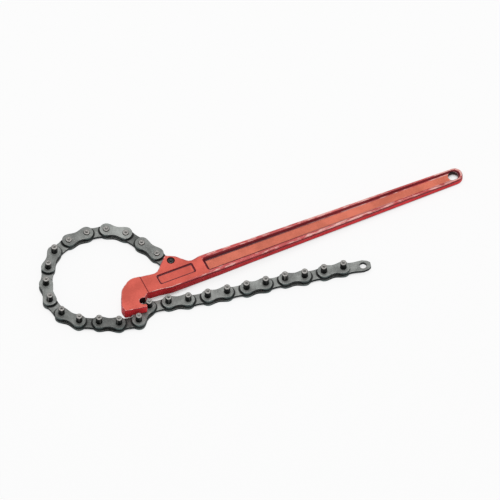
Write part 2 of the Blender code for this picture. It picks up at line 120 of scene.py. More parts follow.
class HandleSizes(bpy.types.PropertyGroup):
    shank_half_width: FloatProperty(
        name="Shank half width", description="Half the width of the shank where it leaves the head",
        default=9.8 * MM, unit="LENGTH")
    eye_radius: FloatProperty(
        name="Eye radius", description="Rounding of the far end", default=6.5 * MM, unit="LENGTH")
    hanging_hole: FloatProperty(
        name="Hanging hole", description="Diameter of the hole in the far end",
        default=8.2 * MM, unit="LENGTH")
    head_thickness: FloatProperty(
        name="Head thickness", description="Thickness of the head behind its nose",
        default=8.9 * MM, unit="LENGTH")
    web_thickness: FloatProperty(
        name="Web", description="Thickness of the web between the flanges",
        default=2.8 * MM, unit="LENGTH")
    edge_round: FloatProperty(
        name="Edge rounding", description="Rounding of the outer edges of the shank",
        default=1.6 * MM, unit="LENGTH")


class Finish(bpy.types.PropertyGroup):
    # Painted sheen: the flat faces are a paler, more orange copy of the red, as if lit from above
    paint: FloatVectorProperty(
        name="Paint", description="Red of the flat faces of the handle",
        default=(0.72, 0.105, 0.07), **COLOUR)
    # Painted sheen: the web is a paler still, lit copy of the red
    web: FloatVectorProperty(
        name="Web", description="Paler, dusty red on the floor of the dished shank",
        default=(0.72, 0.17, 0.10), **COLOUR)
    # Painted shade: the upright sides are a deeper copy of the red
    sides: FloatVectorProperty(
        name="Sides", description="Red of the upright sides of the handle",
        default=(0.80, 0.035, 0.045), **COLOUR)
    # Painted highlight: pale streaks along the crests and flange tops
    crest: FloatVectorProperty(
        name="Crests", description="Pale red where hands and pipes have rubbed the crests",
        default=(0.88, 0.46, 0.42), **COLOUR)
    # Painted shade: a deep red on the rounded rims, which turn away from the light
    rim: FloatVectorProperty(
        name="Rim", description="Deeper red on the rounded rims, where the coat is thicker",
        default=(0.24, 0.010, 0.018), **COLOUR)
    # Painted shade: the flange tops are a darker copy of the red
    flange: FloatVectorProperty(
        name="Flanges", description="Red of the narrow tops of the flanges",
        default=(0.58, 0.075, 0.075), **COLOUR)
    # Painted shade: dark red in corners, the crease and the feet of pockets
    pooled: FloatVectorProperty(
        name="Pooled", description="Dark red where paint and dirt settled in corners",
        default=(0.09, 0.004, 0.012), **COLOUR)
    # Painted light: a paler grey on the cut edges round the lobes
    lobe_edge: FloatVectorProperty(
        name="Lobe edges", description="Grey of the rubbed edges round the lobes of the outer plates",
        default=(0.11, 0.15, 0.145), **COLOUR)
    # Painted shade: the upright cut edges of the plates are nearly black
    edge_oxide: FloatVectorProperty(
        name="Cut edges", description="Dark scale on the cut edges of the plates",
        default=(0.006, 0.009, 0.010), **COLOUR)
    plate: FloatVectorProperty(
        name="Plates", description="Grey of the chain plates", default=(0.235, 0.245, 0.234), **COLOUR)
    pin: FloatVectorProperty(
        name="Pins", description="Grey of the ground pin tips", default=(0.33, 0.32, 0.305), **COLOUR)
    # Oxide, darkened further as painted shade, on the sides of the pins
    oxide: FloatVectorProperty(
        name="Oxide", description="Dark oxide on the sides of the pins",
        default=(0.006, 0.007, 0.007), **COLOUR)


class StageSettings(bpy.types.PropertyGroup):
    azimuth: FloatProperty(
        name="Azimuth", description="Turn of the camera from the front", subtype="ANGLE",
        default=math.radians(-24.9))
    elevation: FloatProperty(
        name="Elevation", description="Height of the camera above the horizon", subtype="ANGLE",
        default=math.radians(55.4))
    view_width: FloatProperty(
        name="View width", description="Width that the square picture takes in",
        default=396.8 * MM, unit="LENGTH")
    floor: FloatVectorProperty(
        name="Floor", description="Colour of the floor", default=(0.9, 0.9, 0.9), **COLOUR)


# Facets
ARC_DEGREES = 5
LOBE_STEPS = 18
WAIST_STEPS = 8
PIN_SIDES = 48
HANGING_HOLE_SIDES = 96
EDGE_STEPS = 4
SHARP_DEGREES = 32
STRAIGHT_DEGREES = 1
MERGE_DISTANCE = 0.01 * MM
OVERRUN = 2.0 * MM

# Tones of some links, going by the first pin of the link: darker beside and under the toe, partly as its
# painted shadow, and lighter or darker elsewhere
LINK_TONE_SHARES = {2: 0.5, 3: 1.2, 11: 0.85, 12: 0.45, 13: 0.5, 14: 0.25, 15: 0.8}
# Painted shadow of the outer plates' lobes on the inner plates: how far past the lobes it reaches, its fade
# and its darkness
LOBE_SHADOW_MARGIN = 1.0 * MM
LOBE_SHADOW_FADE = 0.7 * MM
LOBE_SHADOW_SHARE = 0.03

# How deep the bumps of each finish are
STEEL_BUMP = 0.06 * MM
PIN_BUMP = 0.04 * MM
PAINT_BUMP = 0.12 * MM

# Spans of mottled tone that the finishes draw on
MID_TONES = (0.3, 0.7)
WIDE_TONES = (0.2, 0.8)
ORIGIN = (0, 0, 0)


def direction(degrees):
    return Vector((math.cos(math.radians(degrees)), math.sin(math.radians(degrees))))


def arc(centre, radius, start, end):
    steps = max(2, round(abs(end - start) / ARC_DEGREES))
    turn = (end - start) / steps
    return [Vector(centre) + radius * direction(start + turn * i) for i in range(steps + 1)]


def quarter_turns(steps):
    return [math.pi / 2 * step / steps for step in range(steps + 1)]


def circle(centre, radius, sides):
    turns = [FULL_TURN / sides * i for i in range(sides)]
    return [Vector(centre) + radius * direction(turn) for turn in turns]


def rounded(corners):
    # Corners are (place, radius), and each becomes an arc that touches both of its edges
    points = []
    for index, (place, radius) in enumerate(corners):
        before = (corners[index - 1][0] - place).normalized()
        after = (corners[(index + 1) % len(corners)][0] - place).normalized()
        spread = before.angle(after)
        turn = math.pi - spread
        if radius == 0 or turn < math.radians(STRAIGHT_DEGREES):
            points.append(place)
            continue
        steps = max(2, round(math.degrees(turn) / ARC_DEGREES))
        tangent = radius / math.tan(spread / 2)
        middle = place + (before + after).normalized() * radius / math.sin(spread / 2)
        first = place + before * tangent - middle
        last = place + after * tangent - middle
        sweep = math.atan2(first.x * last.y - first.y * last.x, first.dot(last))
        for step in range(steps + 1):
            points.append(middle + Matrix.Rotation(sweep * step / steps, 2) @ first)
    return points


def inset(points, distance):
    # Each point of a closed outline moves inwards, square to the outline there, by one or its own distance
    distances = distance if isinstance(distance, list) else [distance] * len(points)
    moved = []
    for index, point in enumerate(points):
        along = points[(index + 1) % len(points)] - points[index - 1]
        inward = Vector((-along.y, along.x)).normalized()
        moved.append(point + inward * distances[index])
    return moved


def loop(bm, points, height):
    return [bm.verts.new((point.x, point.y, height)) for point in points]


def wall(bm, lower, upper, slot=0):
    for index in range(len(lower)):
        following = (index + 1) % len(lower)
        face = bm.faces.new((lower[index], lower[following], upper[following], upper[index]))
        face.material_index = slot


def fill(bm, loops, slot=0):
    edges = []
    for verts in loops:
        for index, vert in enumerate(verts):
            pair = (vert, verts[(index + 1) % len(verts)])
            edges.append(bm.edges.get(pair) or bm.edges.new(pair))
    filled = bmesh.ops.triangle_fill(bm, edges=edges, use_beauty=True)
    for face in filled["geom"]:
        if isinstance(face, bmesh.types.BMFace):
            face.material_index = slot


# Keeps at these points an amount for a mark of the finish: wear and a painted glint on edges, painted shade
# in corners
def mark(bm, name, verts, amount):
    # Keeps at these points how much of the finish is rubbed off, or has pooled in a corner
    layer = bm.verts.layers.float.get(name) or bm.verts.layers.float.new(name)
    for vert in verts:
        vert[layer] = amount


def finish_mesh(name, bm):
    bmesh.ops.recalc_face_normals(bm, faces=bm.faces)
    mesh = bpy.data.meshes.new(name)
    bm.to_mesh(mesh)
    bm.free()
    mesh.shade_smooth()
    mesh.set_sharp_from_angle(angle=math.radians(SHARP_DEGREES))
    return mesh


def add_object(name, mesh, place=None):
    piece = bpy.data.objects.new(name, mesh)
    bpy.context.scene.collection.objects.link(piece)
    if place is not None:
        piece.matrix_world = place
    return piece


def carry(piece, body, node):
    # The dressed piece takes the place of its node and moves with its body
    modifier = piece.modifiers.new("face_normals", "WEIGHTED_NORMAL")
    modifier.keep_sharp = True
    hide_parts(node)
    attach(piece, body)


def add_piece(name, mesh, body, node, place, tone_share=1):
    piece = add_object(name, mesh, place)
    piece.color = (tone_share, tone_share, tone_share, 1)
    carry(piece, body, node)


def link_heading(index):
    # The last plate has no pin at its far end, so its own middle gives its heading
    if index + 1 < len(PINS):
        return PINS[index + 1] - PINS[index]
    places = [vert.co for vert in frame["nodes"]["inner_link_14"].data.vertices]
    return sum(places, Vector()) / len(places) - PINS[index]


def link_place(index):
    heading = link_heading(index)
    turn = math.atan2(heading.y, heading.x)
    place = PINS[index].copy()
    place.z = 0
    return Matrix.Translation(place) @ Matrix.Rotation(turn, 4, "Z")


# Node helpers

def fed_node(tree, kind, values, **settings):
    # A node with its settings, whose first sockets take links or plain values
    node = tree.nodes.new(kind)
    for name, value in settings.items():
        setattr(node, name, value)
    sockets = [socket for socket in node.inputs if socket.enabled]
    for socket, value in zip(sockets, values):
        if isinstance(value, bpy.types.NodeSocket):
            tree.links.new(value, socket)
        elif socket.type == "RGBA":
            socket.default_value = (*value, 1)
        else:
            socket.default_value = value
    return next(socket for socket in node.outputs if socket.enabled)


def math_node(tree, operation, *values, clamp=False):
    return fed_node(tree, "ShaderNodeMath", values, operation=operation, use_clamp=clamp)


def vector_node(tree, operation, *values):
    return fed_node(tree, "ShaderNodeVectorMath", values, operation=operation)


def noise_node(tree, vector, scale, detail, roughness=0.5):
    return fed_node(tree, "ShaderNodeTexNoise", (vector, scale, detail, roughness))


def remap(tree, value, span, new_span):
    return fed_node(
        tree, "ShaderNodeMapRange", (value, *span, *new_span), interpolation_type="SMOOTHSTEP")


def mix_colour(tree, factor, first, second, blend="MIX"):
    return fed_node(
        tree, "ShaderNodeMix", (factor, first, second), data_type="RGBA", blend_type=blend)


def marked_amount(tree, name):
    node = tree.nodes.new("ShaderNodeAttribute")
    node.attribute_name = name
    return node.outputs["Fac"]


def surface_place(tree):
    # Each piece takes its own stretch of the pattern, and keeps it when the piece moves
    own = tree.nodes.new("ShaderNodeTexCoord").outputs["Object"]
    info = tree.nodes.new("ShaderNodeObjectInfo").outputs
    random = fed_node(tree, "ShaderNodeCombineXYZ", [info["Random"]] * 3)
    return vector_node(tree, "MULTIPLY_ADD", random, (0.7, 1.3, 2.1), own), own, info


def new_material(name):
    material = bpy.data.materials.new(name)
    material.use_nodes = True
    tree = material.node_tree
    return material, tree, tree.nodes["Principled BSDF"]


def new_group(name, inputs, outputs):
    # Vectors and numbers go in and masks, tones and heights come out, each under its name
    group = bpy.data.node_groups.new(name, "ShaderNodeTree")
    for label, default in inputs.items():
        kind = "NodeSocketVector" if isinstance(default, tuple) else "NodeSocketFloat"
        socket = group.interface.new_socket(label, in_out="INPUT", socket_type=kind)
        socket.default_value = default
    for label in outputs:
        group.interface.new_socket(label, in_out="OUTPUT", socket_type="NodeSocketFloat")
    return group, group.nodes.new("NodeGroupInput").outputs, group.nodes.new("NodeGroupOutput").inputs


def place_group(tree, builder, values):
    # Each group is built once, when a material first asks for it
    name = builder.__name__.removesuffix("_group")
    node = tree.nodes.new("ShaderNodeGroup")
    node.node_tree = bpy.data.node_groups.get(name) or builder(name)
    for label, value in values.items():
        if isinstance(value, bpy.types.NodeSocket):
            tree.links.new(value, node.inputs[label])
        else:
            node.inputs[label].default_value = value
    return node.outputs


def add_relief(tree, shader, place, strength, depth, **scales):
    height = place_group(tree, relief_group, {"Place": place, **scales})["Height"]
    bump = tree.nodes.new("ShaderNodeBump")
    bump.inputs["Strength"].default_value = strength
    bump.inputs["Distance"].default_value = depth
    tree.links.new(height, bump.inputs["Height"])
    tree.links.new(bump.outputs["Normal"], shader.inputs["Normal"])


def rubbed_mask(tree, place, reach):
    marked = marked_amount(tree, "rubbed")
    return place_group(tree, rubbed_edges_group, {"Place": place, "Marked": marked, "Reach": reach})["Mask"]


def rubbed_edges_group(name):
    # A mask that is strongest on marked edges and broken up by fine noise
    group, entry, leave = new_group(
        name, {"Place": ORIGIN, "Marked": 0.0, "Grain": 1800.0, "Reach": 0.5}, ["Mask"])
    grain = noise_node(group, entry["Place"], entry["Grain"], 4)
    spread = math_node(group, "ADD", entry["Marked"], grain)
    over = math_node(group, "SUBTRACT", spread, math_node(group, "SUBTRACT", 1.5, entry["Reach"]))
    group.links.new(math_node(group, "MULTIPLY", over, 3.0, clamp=True), leave["Mask"])
    return group


def mottle_group(name):
    # Slow and fine unevenness of tone, for paint and for oxide
    group, entry, leave = new_group(
        name, {"Place": ORIGIN, "Broad": 60.0, "Fine": 1500.0}, ["Tone", "Speck"])
    broad = noise_node(group, entry["Place"], entry["Broad"], 3)
    fine = noise_node(group, entry["Place"], entry["Fine"], 6, 0.65)
    tone = math_node(group, "MULTIPLY_ADD", broad, 0.6, math_node(group, "MULTIPLY", fine, 0.4))
    group.links.new(tone, leave["Tone"])
    group.links.new(remap(group, fine, (0.56, 0.7), (0, 1)), leave["Speck"])
    return group


def relief_group(name):
    # Height of a surface that is pebbled at two scales, for a Bump node
    group, entry, leave = new_group(
        name, {"Place": ORIGIN, "Coarse": 300.0, "Fine": 2200.0, "Share": 0.35}, ["Height"])
    coarse = noise_node(group, entry["Place"], entry["Coarse"], 2)
    fine = noise_node(group, entry["Place"], entry["Fine"], 5)
    group.links.new(math_node(group, "MULTIPLY_ADD", fine, entry["Share"], coarse), leave["Height"])
    return group


def joint_grime_group(name):
    # A mask round both pins of a plate
    group, entry, leave = new_group(
        name, {"Place": ORIGIN, "Pitch": PITCH, "Reach": PITCH / 2, "Fade": MM}, ["Mask"])
    split = group.nodes.new("ShaderNodeSeparateXYZ")
    group.links.new(entry["Place"], split.inputs[0])
    half = math_node(group, "MULTIPLY", entry["Pitch"], 0.5)
    from_middle = math_node(group, "ABSOLUTE", math_node(group, "SUBTRACT", split.outputs["X"], half))
    along = math_node(group, "SUBTRACT", from_middle, half)
    across = math_node(group, "MULTIPLY", split.outputs["Y"], split.outputs["Y"])
    distance = math_node(group, "SQRT", math_node(group, "MULTIPLY_ADD", along, along, across))
    past = math_node(group, "SUBTRACT", distance, entry["Reach"])
    clear = math_node(group, "DIVIDE", past, entry["Fade"], clamp=True)
    group.links.new(math_node(group, "SUBTRACT", 1.0, clear), leave["Mask"])
    return group


def streaks_group(name):
    # Broken streaks that run along the handle, a painted highlight on the crests
    group, entry, leave = new_group(
        name, {"Place": ORIGIN, "Scale": 700.0, "Stretch": 0.2, "Cover": 0.44}, ["Mask"])
    stretch = fed_node(group, "ShaderNodeCombineXYZ", (entry["Stretch"], 1, 1))
    drawn = vector_node(group, "MULTIPLY", entry["Place"], stretch)
    fine = noise_node(group, drawn, entry["Scale"], 3)
    broad = noise_node(group, entry["Place"], 25.0, 1)
    noise = math_node(group, "MULTIPLY_ADD", broad, 0.4, math_node(group, "MULTIPLY", fine, 0.6))
    over = math_node(group, "SUBTRACT", math_node(group, "ADD", noise, entry["Cover"]), 0.9)
    group.links.new(math_node(group, "MULTIPLY", over, 12.0, clamp=True), leave["Mask"])
    return group


def brighter(colour, share):
    return [min(1, value * share) for value in colour]


def cut_edge_material(name, waist, lobe, reach):
    # Upright cut edge of a stamped plate: painted shade along the waist, and a paler grey round the lobes
    # as painted light
    material, tree, shader = new_material(name)
    place, own, _ = surface_place(tree)
    tone = place_group(tree, mottle_group, {"Place": place, "Broad": 200.0, "Fine": 1100.0})["Tone"]
    lobes = place_group(tree, joint_grime_group, {"Place": own, "Reach": reach, "Fade": MM})
    grey = mix_colour(tree, 1.0, lobe, remap(tree, tone, MID_TONES, (0.6, 1.3)), "MULTIPLY")
    tree.links.new(mix_colour(tree, lobes["Mask"], waist, grey), shader.inputs["Base Color"])
    tree.links.new(remap(tree, tone, MID_TONES, (0.55, 0.4)), shader.inputs["Roughness"])
    shader.inputs["Metallic"].default_value = 0.9
    add_relief(tree, shader, place, strength=0.4, depth=STEEL_BUMP)
    return material


def steel_material(name, colour, bright_steel, roughness, metallic=0.5, lobe_shadow_reach=0):
    # Oiled dark steel with a satin grain, brighter along its edges as wear and a painted glint; its object
    # colour tones whole links, and a painted shadow can lie round its pins
    material, tree, shader = new_material(name)
    place, own, info = surface_place(tree)
    mottle = place_group(tree, mottle_group, {"Place": place, "Broad": 110.0, "Fine": 900.0})
    rubbed = rubbed_mask(tree, place, reach=0.35)
    tone = remap(tree, mottle["Tone"], MID_TONES, (0.58, 1.18))
    shade = math_node(tree, "MULTIPLY_ADD", info["Random"], 0.22, tone)
    toned = mix_colour(tree, 1.0, colour, shade, "MULTIPLY")
    # Whole links darker or lighter, partly the toe's painted shadow
    link_toned = mix_colour(tree, 1.0, toned, info["Color"], "MULTIPLY")
    speckled = mix_colour(tree, math_node(tree, "MULTIPLY", mottle["Speck"], 0.35), link_toned, bright_steel)
    # Brighter edges, partly wear and partly a painted glint
    surface = mix_colour(tree, rubbed, speckled, bright_steel)
    # Painted shadow round both pins, where the outer lobes lie over the inner plate
    if lobe_shadow_reach:
        lobe_shadow = place_group(
            tree, joint_grime_group, {"Place": own, "Reach": lobe_shadow_reach, "Fade": LOBE_SHADOW_FADE})
        surface = mix_colour(tree, lobe_shadow["Mask"], surface, brighter(colour, LOBE_SHADOW_SHARE))
    tree.links.new(surface, shader.inputs["Base Color"])
    satin = remap(tree, mottle["Tone"], WIDE_TONES, (roughness + 0.1, roughness - 0.08))
    tree.links.new(satin, shader.inputs["Roughness"])
    shader.inputs["Metallic"].default_value = metallic
    add_relief(tree, shader, place, strength=0.35, depth=STEEL_BUMP)
    return material


def pin_material(name, tip, oxide):
    # Dark oxide deepened as painted shade, with painted reflection streaks down the side of a pin, and
    # brighter steel on its end
    material, tree, shader = new_material(name)
    place, _, _ = surface_place(tree)
    tone = place_group(tree, mottle_group, {"Place": place, "Broad": 180.0})["Tone"]
    rubbed = rubbed_mask(tree, place, reach=0.5)
    bright = mix_colour(tree, 1.0, tip, remap(tree, tone, (0.25, 0.75), (0.75, 1.15)), "MULTIPLY")
    # Painted reflection: pale vertical streaks down the dark side of a pin
    drawn = vector_node(tree, "MULTIPLY", place, (1, 1, 0.03))
    reflection_streak = remap(tree, noise_node(tree, drawn, 620.0, 1), (0.58, 0.68), (0, 1))
    side = mix_colour(tree, reflection_streak, oxide, brighter(tip, 0.5))
    tree.links.new(mix_colour(tree, rubbed, side, bright), shader.inputs["Base Color"])
    tree.links.new(remap(tree, rubbed, (0, 1), (0.4, 0.5)), shader.inputs["Roughness"])
    shader.inputs["Metallic"].default_value = 0.9
    add_relief(tree, shader, place, strength=0.25, depth=PIN_BUMP, Coarse=700.0)
    return material


def paint_material(name, colour, pooled, roughness, gloss, crest=None, cover=0):
    # Enamel over a forging: pebbled and uneven, with painted shade in corners and painted highlight streaks
    # on crests
    material, tree, shader = new_material(name)
    place, _, _ = surface_place(tree)
    tone = place_group(tree, mottle_group, {"Place": place, "Broad": 70.0, "Fine": 700.0})["Tone"]
    pale = [min(1, value * 1.12 + 0.012) for value in colour]
    toned = mix_colour(tree, remap(tree, tone, (0.35, 0.65), (0, 1)), brighter(colour, 0.84), pale)
    # Painted highlight: pale streaks along the crests
    if crest is not None:
        highlight_streaks = place_group(tree, streaks_group, {"Place": place, "Cover": cover})
        toned = mix_colour(tree, highlight_streaks["Mask"], toned, crest)
    # Painted shade in corners, at the marked amounts
    corners = remap(tree, marked_amount(tree, "pooled"), (0.05, 0.9), (0, 1))
    tree.links.new(mix_colour(tree, corners, toned, pooled), shader.inputs["Base Color"])
    satin = remap(tree, tone, MID_TONES, (roughness + 0.06, roughness - 0.06))
    tree.links.new(satin, shader.inputs["Roughness"])
    shader.inputs["Specular IOR Level"].default_value = gloss
    add_relief(tree, shader, place, strength=0.3, depth=PAINT_BUMP, Coarse=420.0, Fine=1700.0, Share=0.3)
    return material


# Stamped plates

def lobe_arc(half_width, reach):
    # A quarter of an ellipse, from the tip of a lobe to its widest place beside the pin
    turns = quarter_turns(LOBE_STEPS)
    return [Vector((-reach * math.cos(turn), half_width * math.sin(turn))) for turn in turns]


def waist_curve(half_width, waist):
    # Half a wave, from the widest place of a lobe to the middle of its plate
    points = []
    for step in range(1, WAIST_STEPS + 1):
        share = step / WAIST_STEPS
        fall = (1 - math.cos(math.pi * share)) / 2
        points.append(Vector((PITCH / 2 * share, half_width + (waist - half_width) * fall)))
    return points


def with_other_side(top):
    # Clockwise along the top becomes a whole outline, and it is turned to run anticlockwise
    whole = top + [Vector((point.x, -point.y)) for point in reversed(top) if point.y > MERGE_DISTANCE]
    return list(reversed(whole))


def plate_outline(half_width, reach, waist):
    near = lobe_arc(half_width, reach) + waist_curve(half_width, waist)
    far = [Vector((PITCH - point.x, point.y)) for point in reversed(near[:-1])]
    return with_other_side(near + far)


# The loose end plate past its hole: places beyond the hole, and the rounding of each corner
TAIL_SHOULDER = Vector((3.7 * MM, 4.1 * MM))
TAIL_END = Vector((6.2 * MM, 2.3 * MM))
TAIL_SHOULDER_ROUND = 2.4 * MM
TAIL_END_ROUND = 0.9 * MM
TAIL_HOLE_DIAMETER = 5.6 * MM


def tail_outline(half_width, reach, waist):
    middle = waist_curve(half_width, waist)
    top = lobe_arc(half_width, reach) + middle
    top += [Vector((PITCH - point.x, point.y)) for point in reversed(middle[:-1])]
    corners = [(point, 0) for point in top]
    corners.append((Vector((PITCH, half_width)), 0))
    corners.append((Vector((PITCH, 0)) + TAIL_SHOULDER, TAIL_SHOULDER_ROUND))
    corners.append((Vector((PITCH, 0)) + TAIL_END, TAIL_END_ROUND))
    mirrored = [(Vector((point.x, -point.y)), radius) for point, radius in reversed(corners)]
    corners += [corner for corner in mirrored if corner[0].y < -MERGE_DISTANCE]
    return list(reversed(rounded(corners)))


# Bands of a plate, and how much wear and painted glint its rim takes
CALM_BAND_SHARE = 2.6
RIM_WEAR_AND_GLINT = 0.7
FACE_EDGE_WEAR_AND_GLINT = 0.5


def plate_mesh(name, outline, holes, foot, top, edge):
    # A stamped plate with rounded outer edges and lightly broken hole edges, its upper rim marked for wear
    # and a painted glint
    bm = bmesh.new()
    mark(bm, "rubbed", (), 0)
    sides = []
    for turn in quarter_turns(EDGE_STEPS):
        shape = inset(outline, edge * (1 - math.sin(turn)))
        rise = edge * (1 - math.cos(turn))
        sides.append((shape, rise))
    rings = [loop(bm, shape, foot + rise) for shape, rise in sides]
    rings += [loop(bm, shape, top - rise) for shape, rise in reversed(sides)]
    # The upright sides and the rims next to them take the cut-edge finish, painted dark as shade
    for index, (lower, upper) in enumerate(zip(rings, rings[1:])):
        wall(bm, lower, upper, slot=1 if 0 < index <= EDGE_STEPS + 1 else 0)
    for ring in rings[EDGE_STEPS + 3:-1]:
        mark(bm, "rubbed", ring, RIM_WEAR_AND_GLINT)
    mark(bm, "rubbed", rings[-1], FACE_EDGE_WEAR_AND_GLINT)
    flats = []
    for height, ring in ((foot, rings[0]), (top, rings[-1])):
        calm = loop(bm, inset(outline, edge * CALM_BAND_SHARE), height)
        wall(bm, ring, calm)
        flats.append([calm])
    chamfer = edge / 2
    for centre, radius in holes:
        mouth = circle(centre, radius + chamfer, PIN_SIDES)
        throat = circle(centre, radius, PIN_SIDES)
        column = [loop(bm, mouth, foot), loop(bm, throat, foot + chamfer),
                  loop(bm, throat, top - chamfer), loop(bm, mouth, top)]
        # The hole chamfers take the cut-edge finish too, a painted contact shadow round each pin
        for lower, upper in zip(column, column[1:]):
            wall(bm, lower, upper, slot=1)
        flats[0].append(column[0])
        flats[1].append(column[-1])
    for loops in flats:
        fill(bm, loops)
    return finish_mesh(name, bm)


# Ends of a pin, with places as shares of the chamfer or of the radius
PIN_BAND_SHARE = 1.9
DIMPLE_SHARE = 0.56
DIMPLE_FLOOR_RADIUS = 0.01 * MM
# How much wear and painted glint the rings of a pin's end take
FOOT_WEAR_AND_GLINT = 0.2
BAND_WEAR_AND_GLINT = 0.4
DIMPLE_LIP_WEAR_AND_GLINT = 0.95
DIMPLE_WEAR_AND_GLINT_LOSS = 0.45


def pin_mesh(name, radius, top, chain, foot=0):
    # A turned pin: rounded chamfers, a flat ring at its end and a shallow dimple inside it
    bm = bmesh.new()
    mark(bm, "rubbed", (), 0)
    chamfer = chain.tip_chamfer
    profile = [
        (radius - chamfer, foot, FOOT_WEAR_AND_GLINT),
        (radius, foot + chamfer, 0),
        (radius, top - chamfer * PIN_BAND_SHARE, 0),
        (radius, top - chamfer, BAND_WEAR_AND_GLINT),
    ]
    turns = quarter_turns(EDGE_STEPS)[1:]
    for turn in turns:
        profile.append((radius - chamfer * (1 - math.cos(turn)), top - chamfer * (1 - math.sin(turn)), 1))
    lip = radius * DIMPLE_SHARE
    profile.append((lip, top, 1))
    for step, turn in enumerate(turns, 1):
        wear_glint = DIMPLE_LIP_WEAR_AND_GLINT - DIMPLE_WEAR_AND_GLINT_LOSS * step / EDGE_STEPS
        height = top - chain.dimple_depth * math.sin(turn)
        profile.append((lip * math.cos(turn) + DIMPLE_FLOOR_RADIUS, height, wear_glint))
    rings = []
    for size, height, wear_glint in profile:
        ring = loop(bm, circle((0, 0), size, PIN_SIDES), height)
        mark(bm, "rubbed", ring, wear_glint)
        rings.append(ring)
    for lower, upper in zip(rings, rings[1:]):
        wall(bm, lower, upper)
    fill(bm, [rings[0]])
    fill(bm, [rings[-1]])
    return finish_mesh(name, bm)


# Head of the handle. Each corner has its place as shares of the way along and across from the ear pin to
# the hooked pin, and its rounding as a share of the distance between these pins
EAR_CORNER_SHARES = (
    (-0.71, 0.157, 0.16),
    (-0.43, 0.230, 0.14),
    (-0.167, -0.093, 0.045),
    (0.069, -0.242, 0.028),
)
NOSE_CORNER_SHARES = (
    (0.48, 0.225, 0.16),
    (1.18, 0.10, 0.25),
    (1.52, 0.37, 0.30),
    (1.725, 0.90, 0.19),
)
THROAT_CORNER_SHARES = (
    (0.95, 0.76, 0.04),
    (0.63, 0.785, 0.14),
    (0.30, 0.85, 0.18),
)
TOE_END_SHARE = 1.10
TOE_BACK_SHARE = 1.69
TOE_ROUND_SHARE = 0.032
TOE_TIP_ROUND_SHARE = 0.022
NOTCH_LIP_ROUND_SHARE = 0.03
NOTCH_LIP_REACH_SHARE = 1.25
NOSE_STEP_SHARE = 0.925
NOTCH_HEADING = 346
NOTCH_PLAY = 1.15 * MM
NOTCH_DEPTH = 4.8 * MM
TOE_THICKNESS = 3.35 * MM
TOE_FACE_HEADING = 283
TOE_BASE_HEADING = 170
TOE_CLEARANCE = 0.5 * MM
RELIEF_MARGIN = 1.6 * MM

# Levels of the handle, and its shank, whose axis leans a little
HEAD_MID_HEIGHT = 9.1 * MM
NOSE_THICKNESS = 9.8 * MM
NOSE_STEP_RUN = 1.2 * MM
# Places across the step behind the nose as shares of its run, and how much painted shade lies there
NOSE_CREASE = ((-0.6, 0), (0, 0.7), (0.45, 0.8), (1, 0))
SHANK_START = 32.0 * MM
SHANK_START_DROP = 14.3 * MM
HEAD_END = 20.0 * MM
NECK_END = 60.0 * MM
NECK_THICKNESS = 7.4 * MM
EYE_DROP = 15.05 * MM
EYE_THICKNESS = 6.35 * MM
HANGING_HOLE_SETBACK = 1.35 * MM

# Recess between the flanges, and the sunken panel
RECESS_START = 23.3 * MM
RECESS_START_HALF_WIDTH = 6.4 * MM
RECESS_END_RADIUS = 4.75 * MM
RECESS_WALL_RUN = 1.3 * MM
RECESS_CORNER = 2.6 * MM
PANEL_LENGTH = 31.6 * MM
PANEL_WIDTH = 9.4 * MM
PANEL_CENTRE_X = -1.4 * MM
PANEL_CENTRE_DROP = 13.2 * MM
PANEL_DEPTH = 1.0 * MM
PANEL_WALL_RUN = 0.5 * MM
PANEL_CORNER = 1.4 * MM

# Pockets: how softly their walls ease out, and how far painted shade reaches past their foot
RECESS_EASE = 0.45
PANEL_EASE = 0.35
RECESS_SHADE_REACH = 0.7 * MM
PANEL_SHADE_REACH = 1.0 * MM
EASE_STEPS = 4
CUT_LIFT_SHARE = 0.012
MOUTH_FLARE = 0.25 * MM
MOUTH_RISE_SHARE = 2
SHADE_AMOUNTS = (0, 0.3, 0.8, 1, 1, 1, 0.7, 0)

# The edges of the nose are crisper than those of the shank, and painted shade lies on the step's flat part
CRISP_EDGE_SHARE = 0.35
CRISP_UNTIL = -22.0 * MM
CREASE_ABOVE = 0.5

# Material slots of the forging, and the slopes and places at which one gives way to another
FLATS, RIMS, BORES, SIDES, WEB, CREST_HIGHLIGHTS, FLANGES = range(7)
SIDE_UP_TO = 0.5
# Rim faces this near to level take the painted crest highlight
CREST_FROM = 0.75
NOTCH_SHADE_SHARE = 1.6
CREST_COVER = 0.44
FLANGE_COVER = 0.41
BORE_SHADE_SHARE = 0.3

# Ear slot and its lower wall
SLOT_PLAY = 0.35 * MM
SLOT_BACK_CLEARANCE = 0.7 * MM
SLOT_HALF_WIDTH = 8.2 * MM
LUG_FLOOR_GAP = 0.25 * MM
LUG_RADIUS = 4.7 * MM
LUG_ARC = (-8, 188)
HEEL_LENGTH = 7.5 * MM
HEEL_CORNER = 1.5 * MM
EAR_PIN_SINK = 0.35 * MM
BORE_CLEARANCE = 0.05 * MM
COUNTERBORE_MARGIN = 0.7 * MM
COUNTERBORE_DEPTH = 0.8 * MM


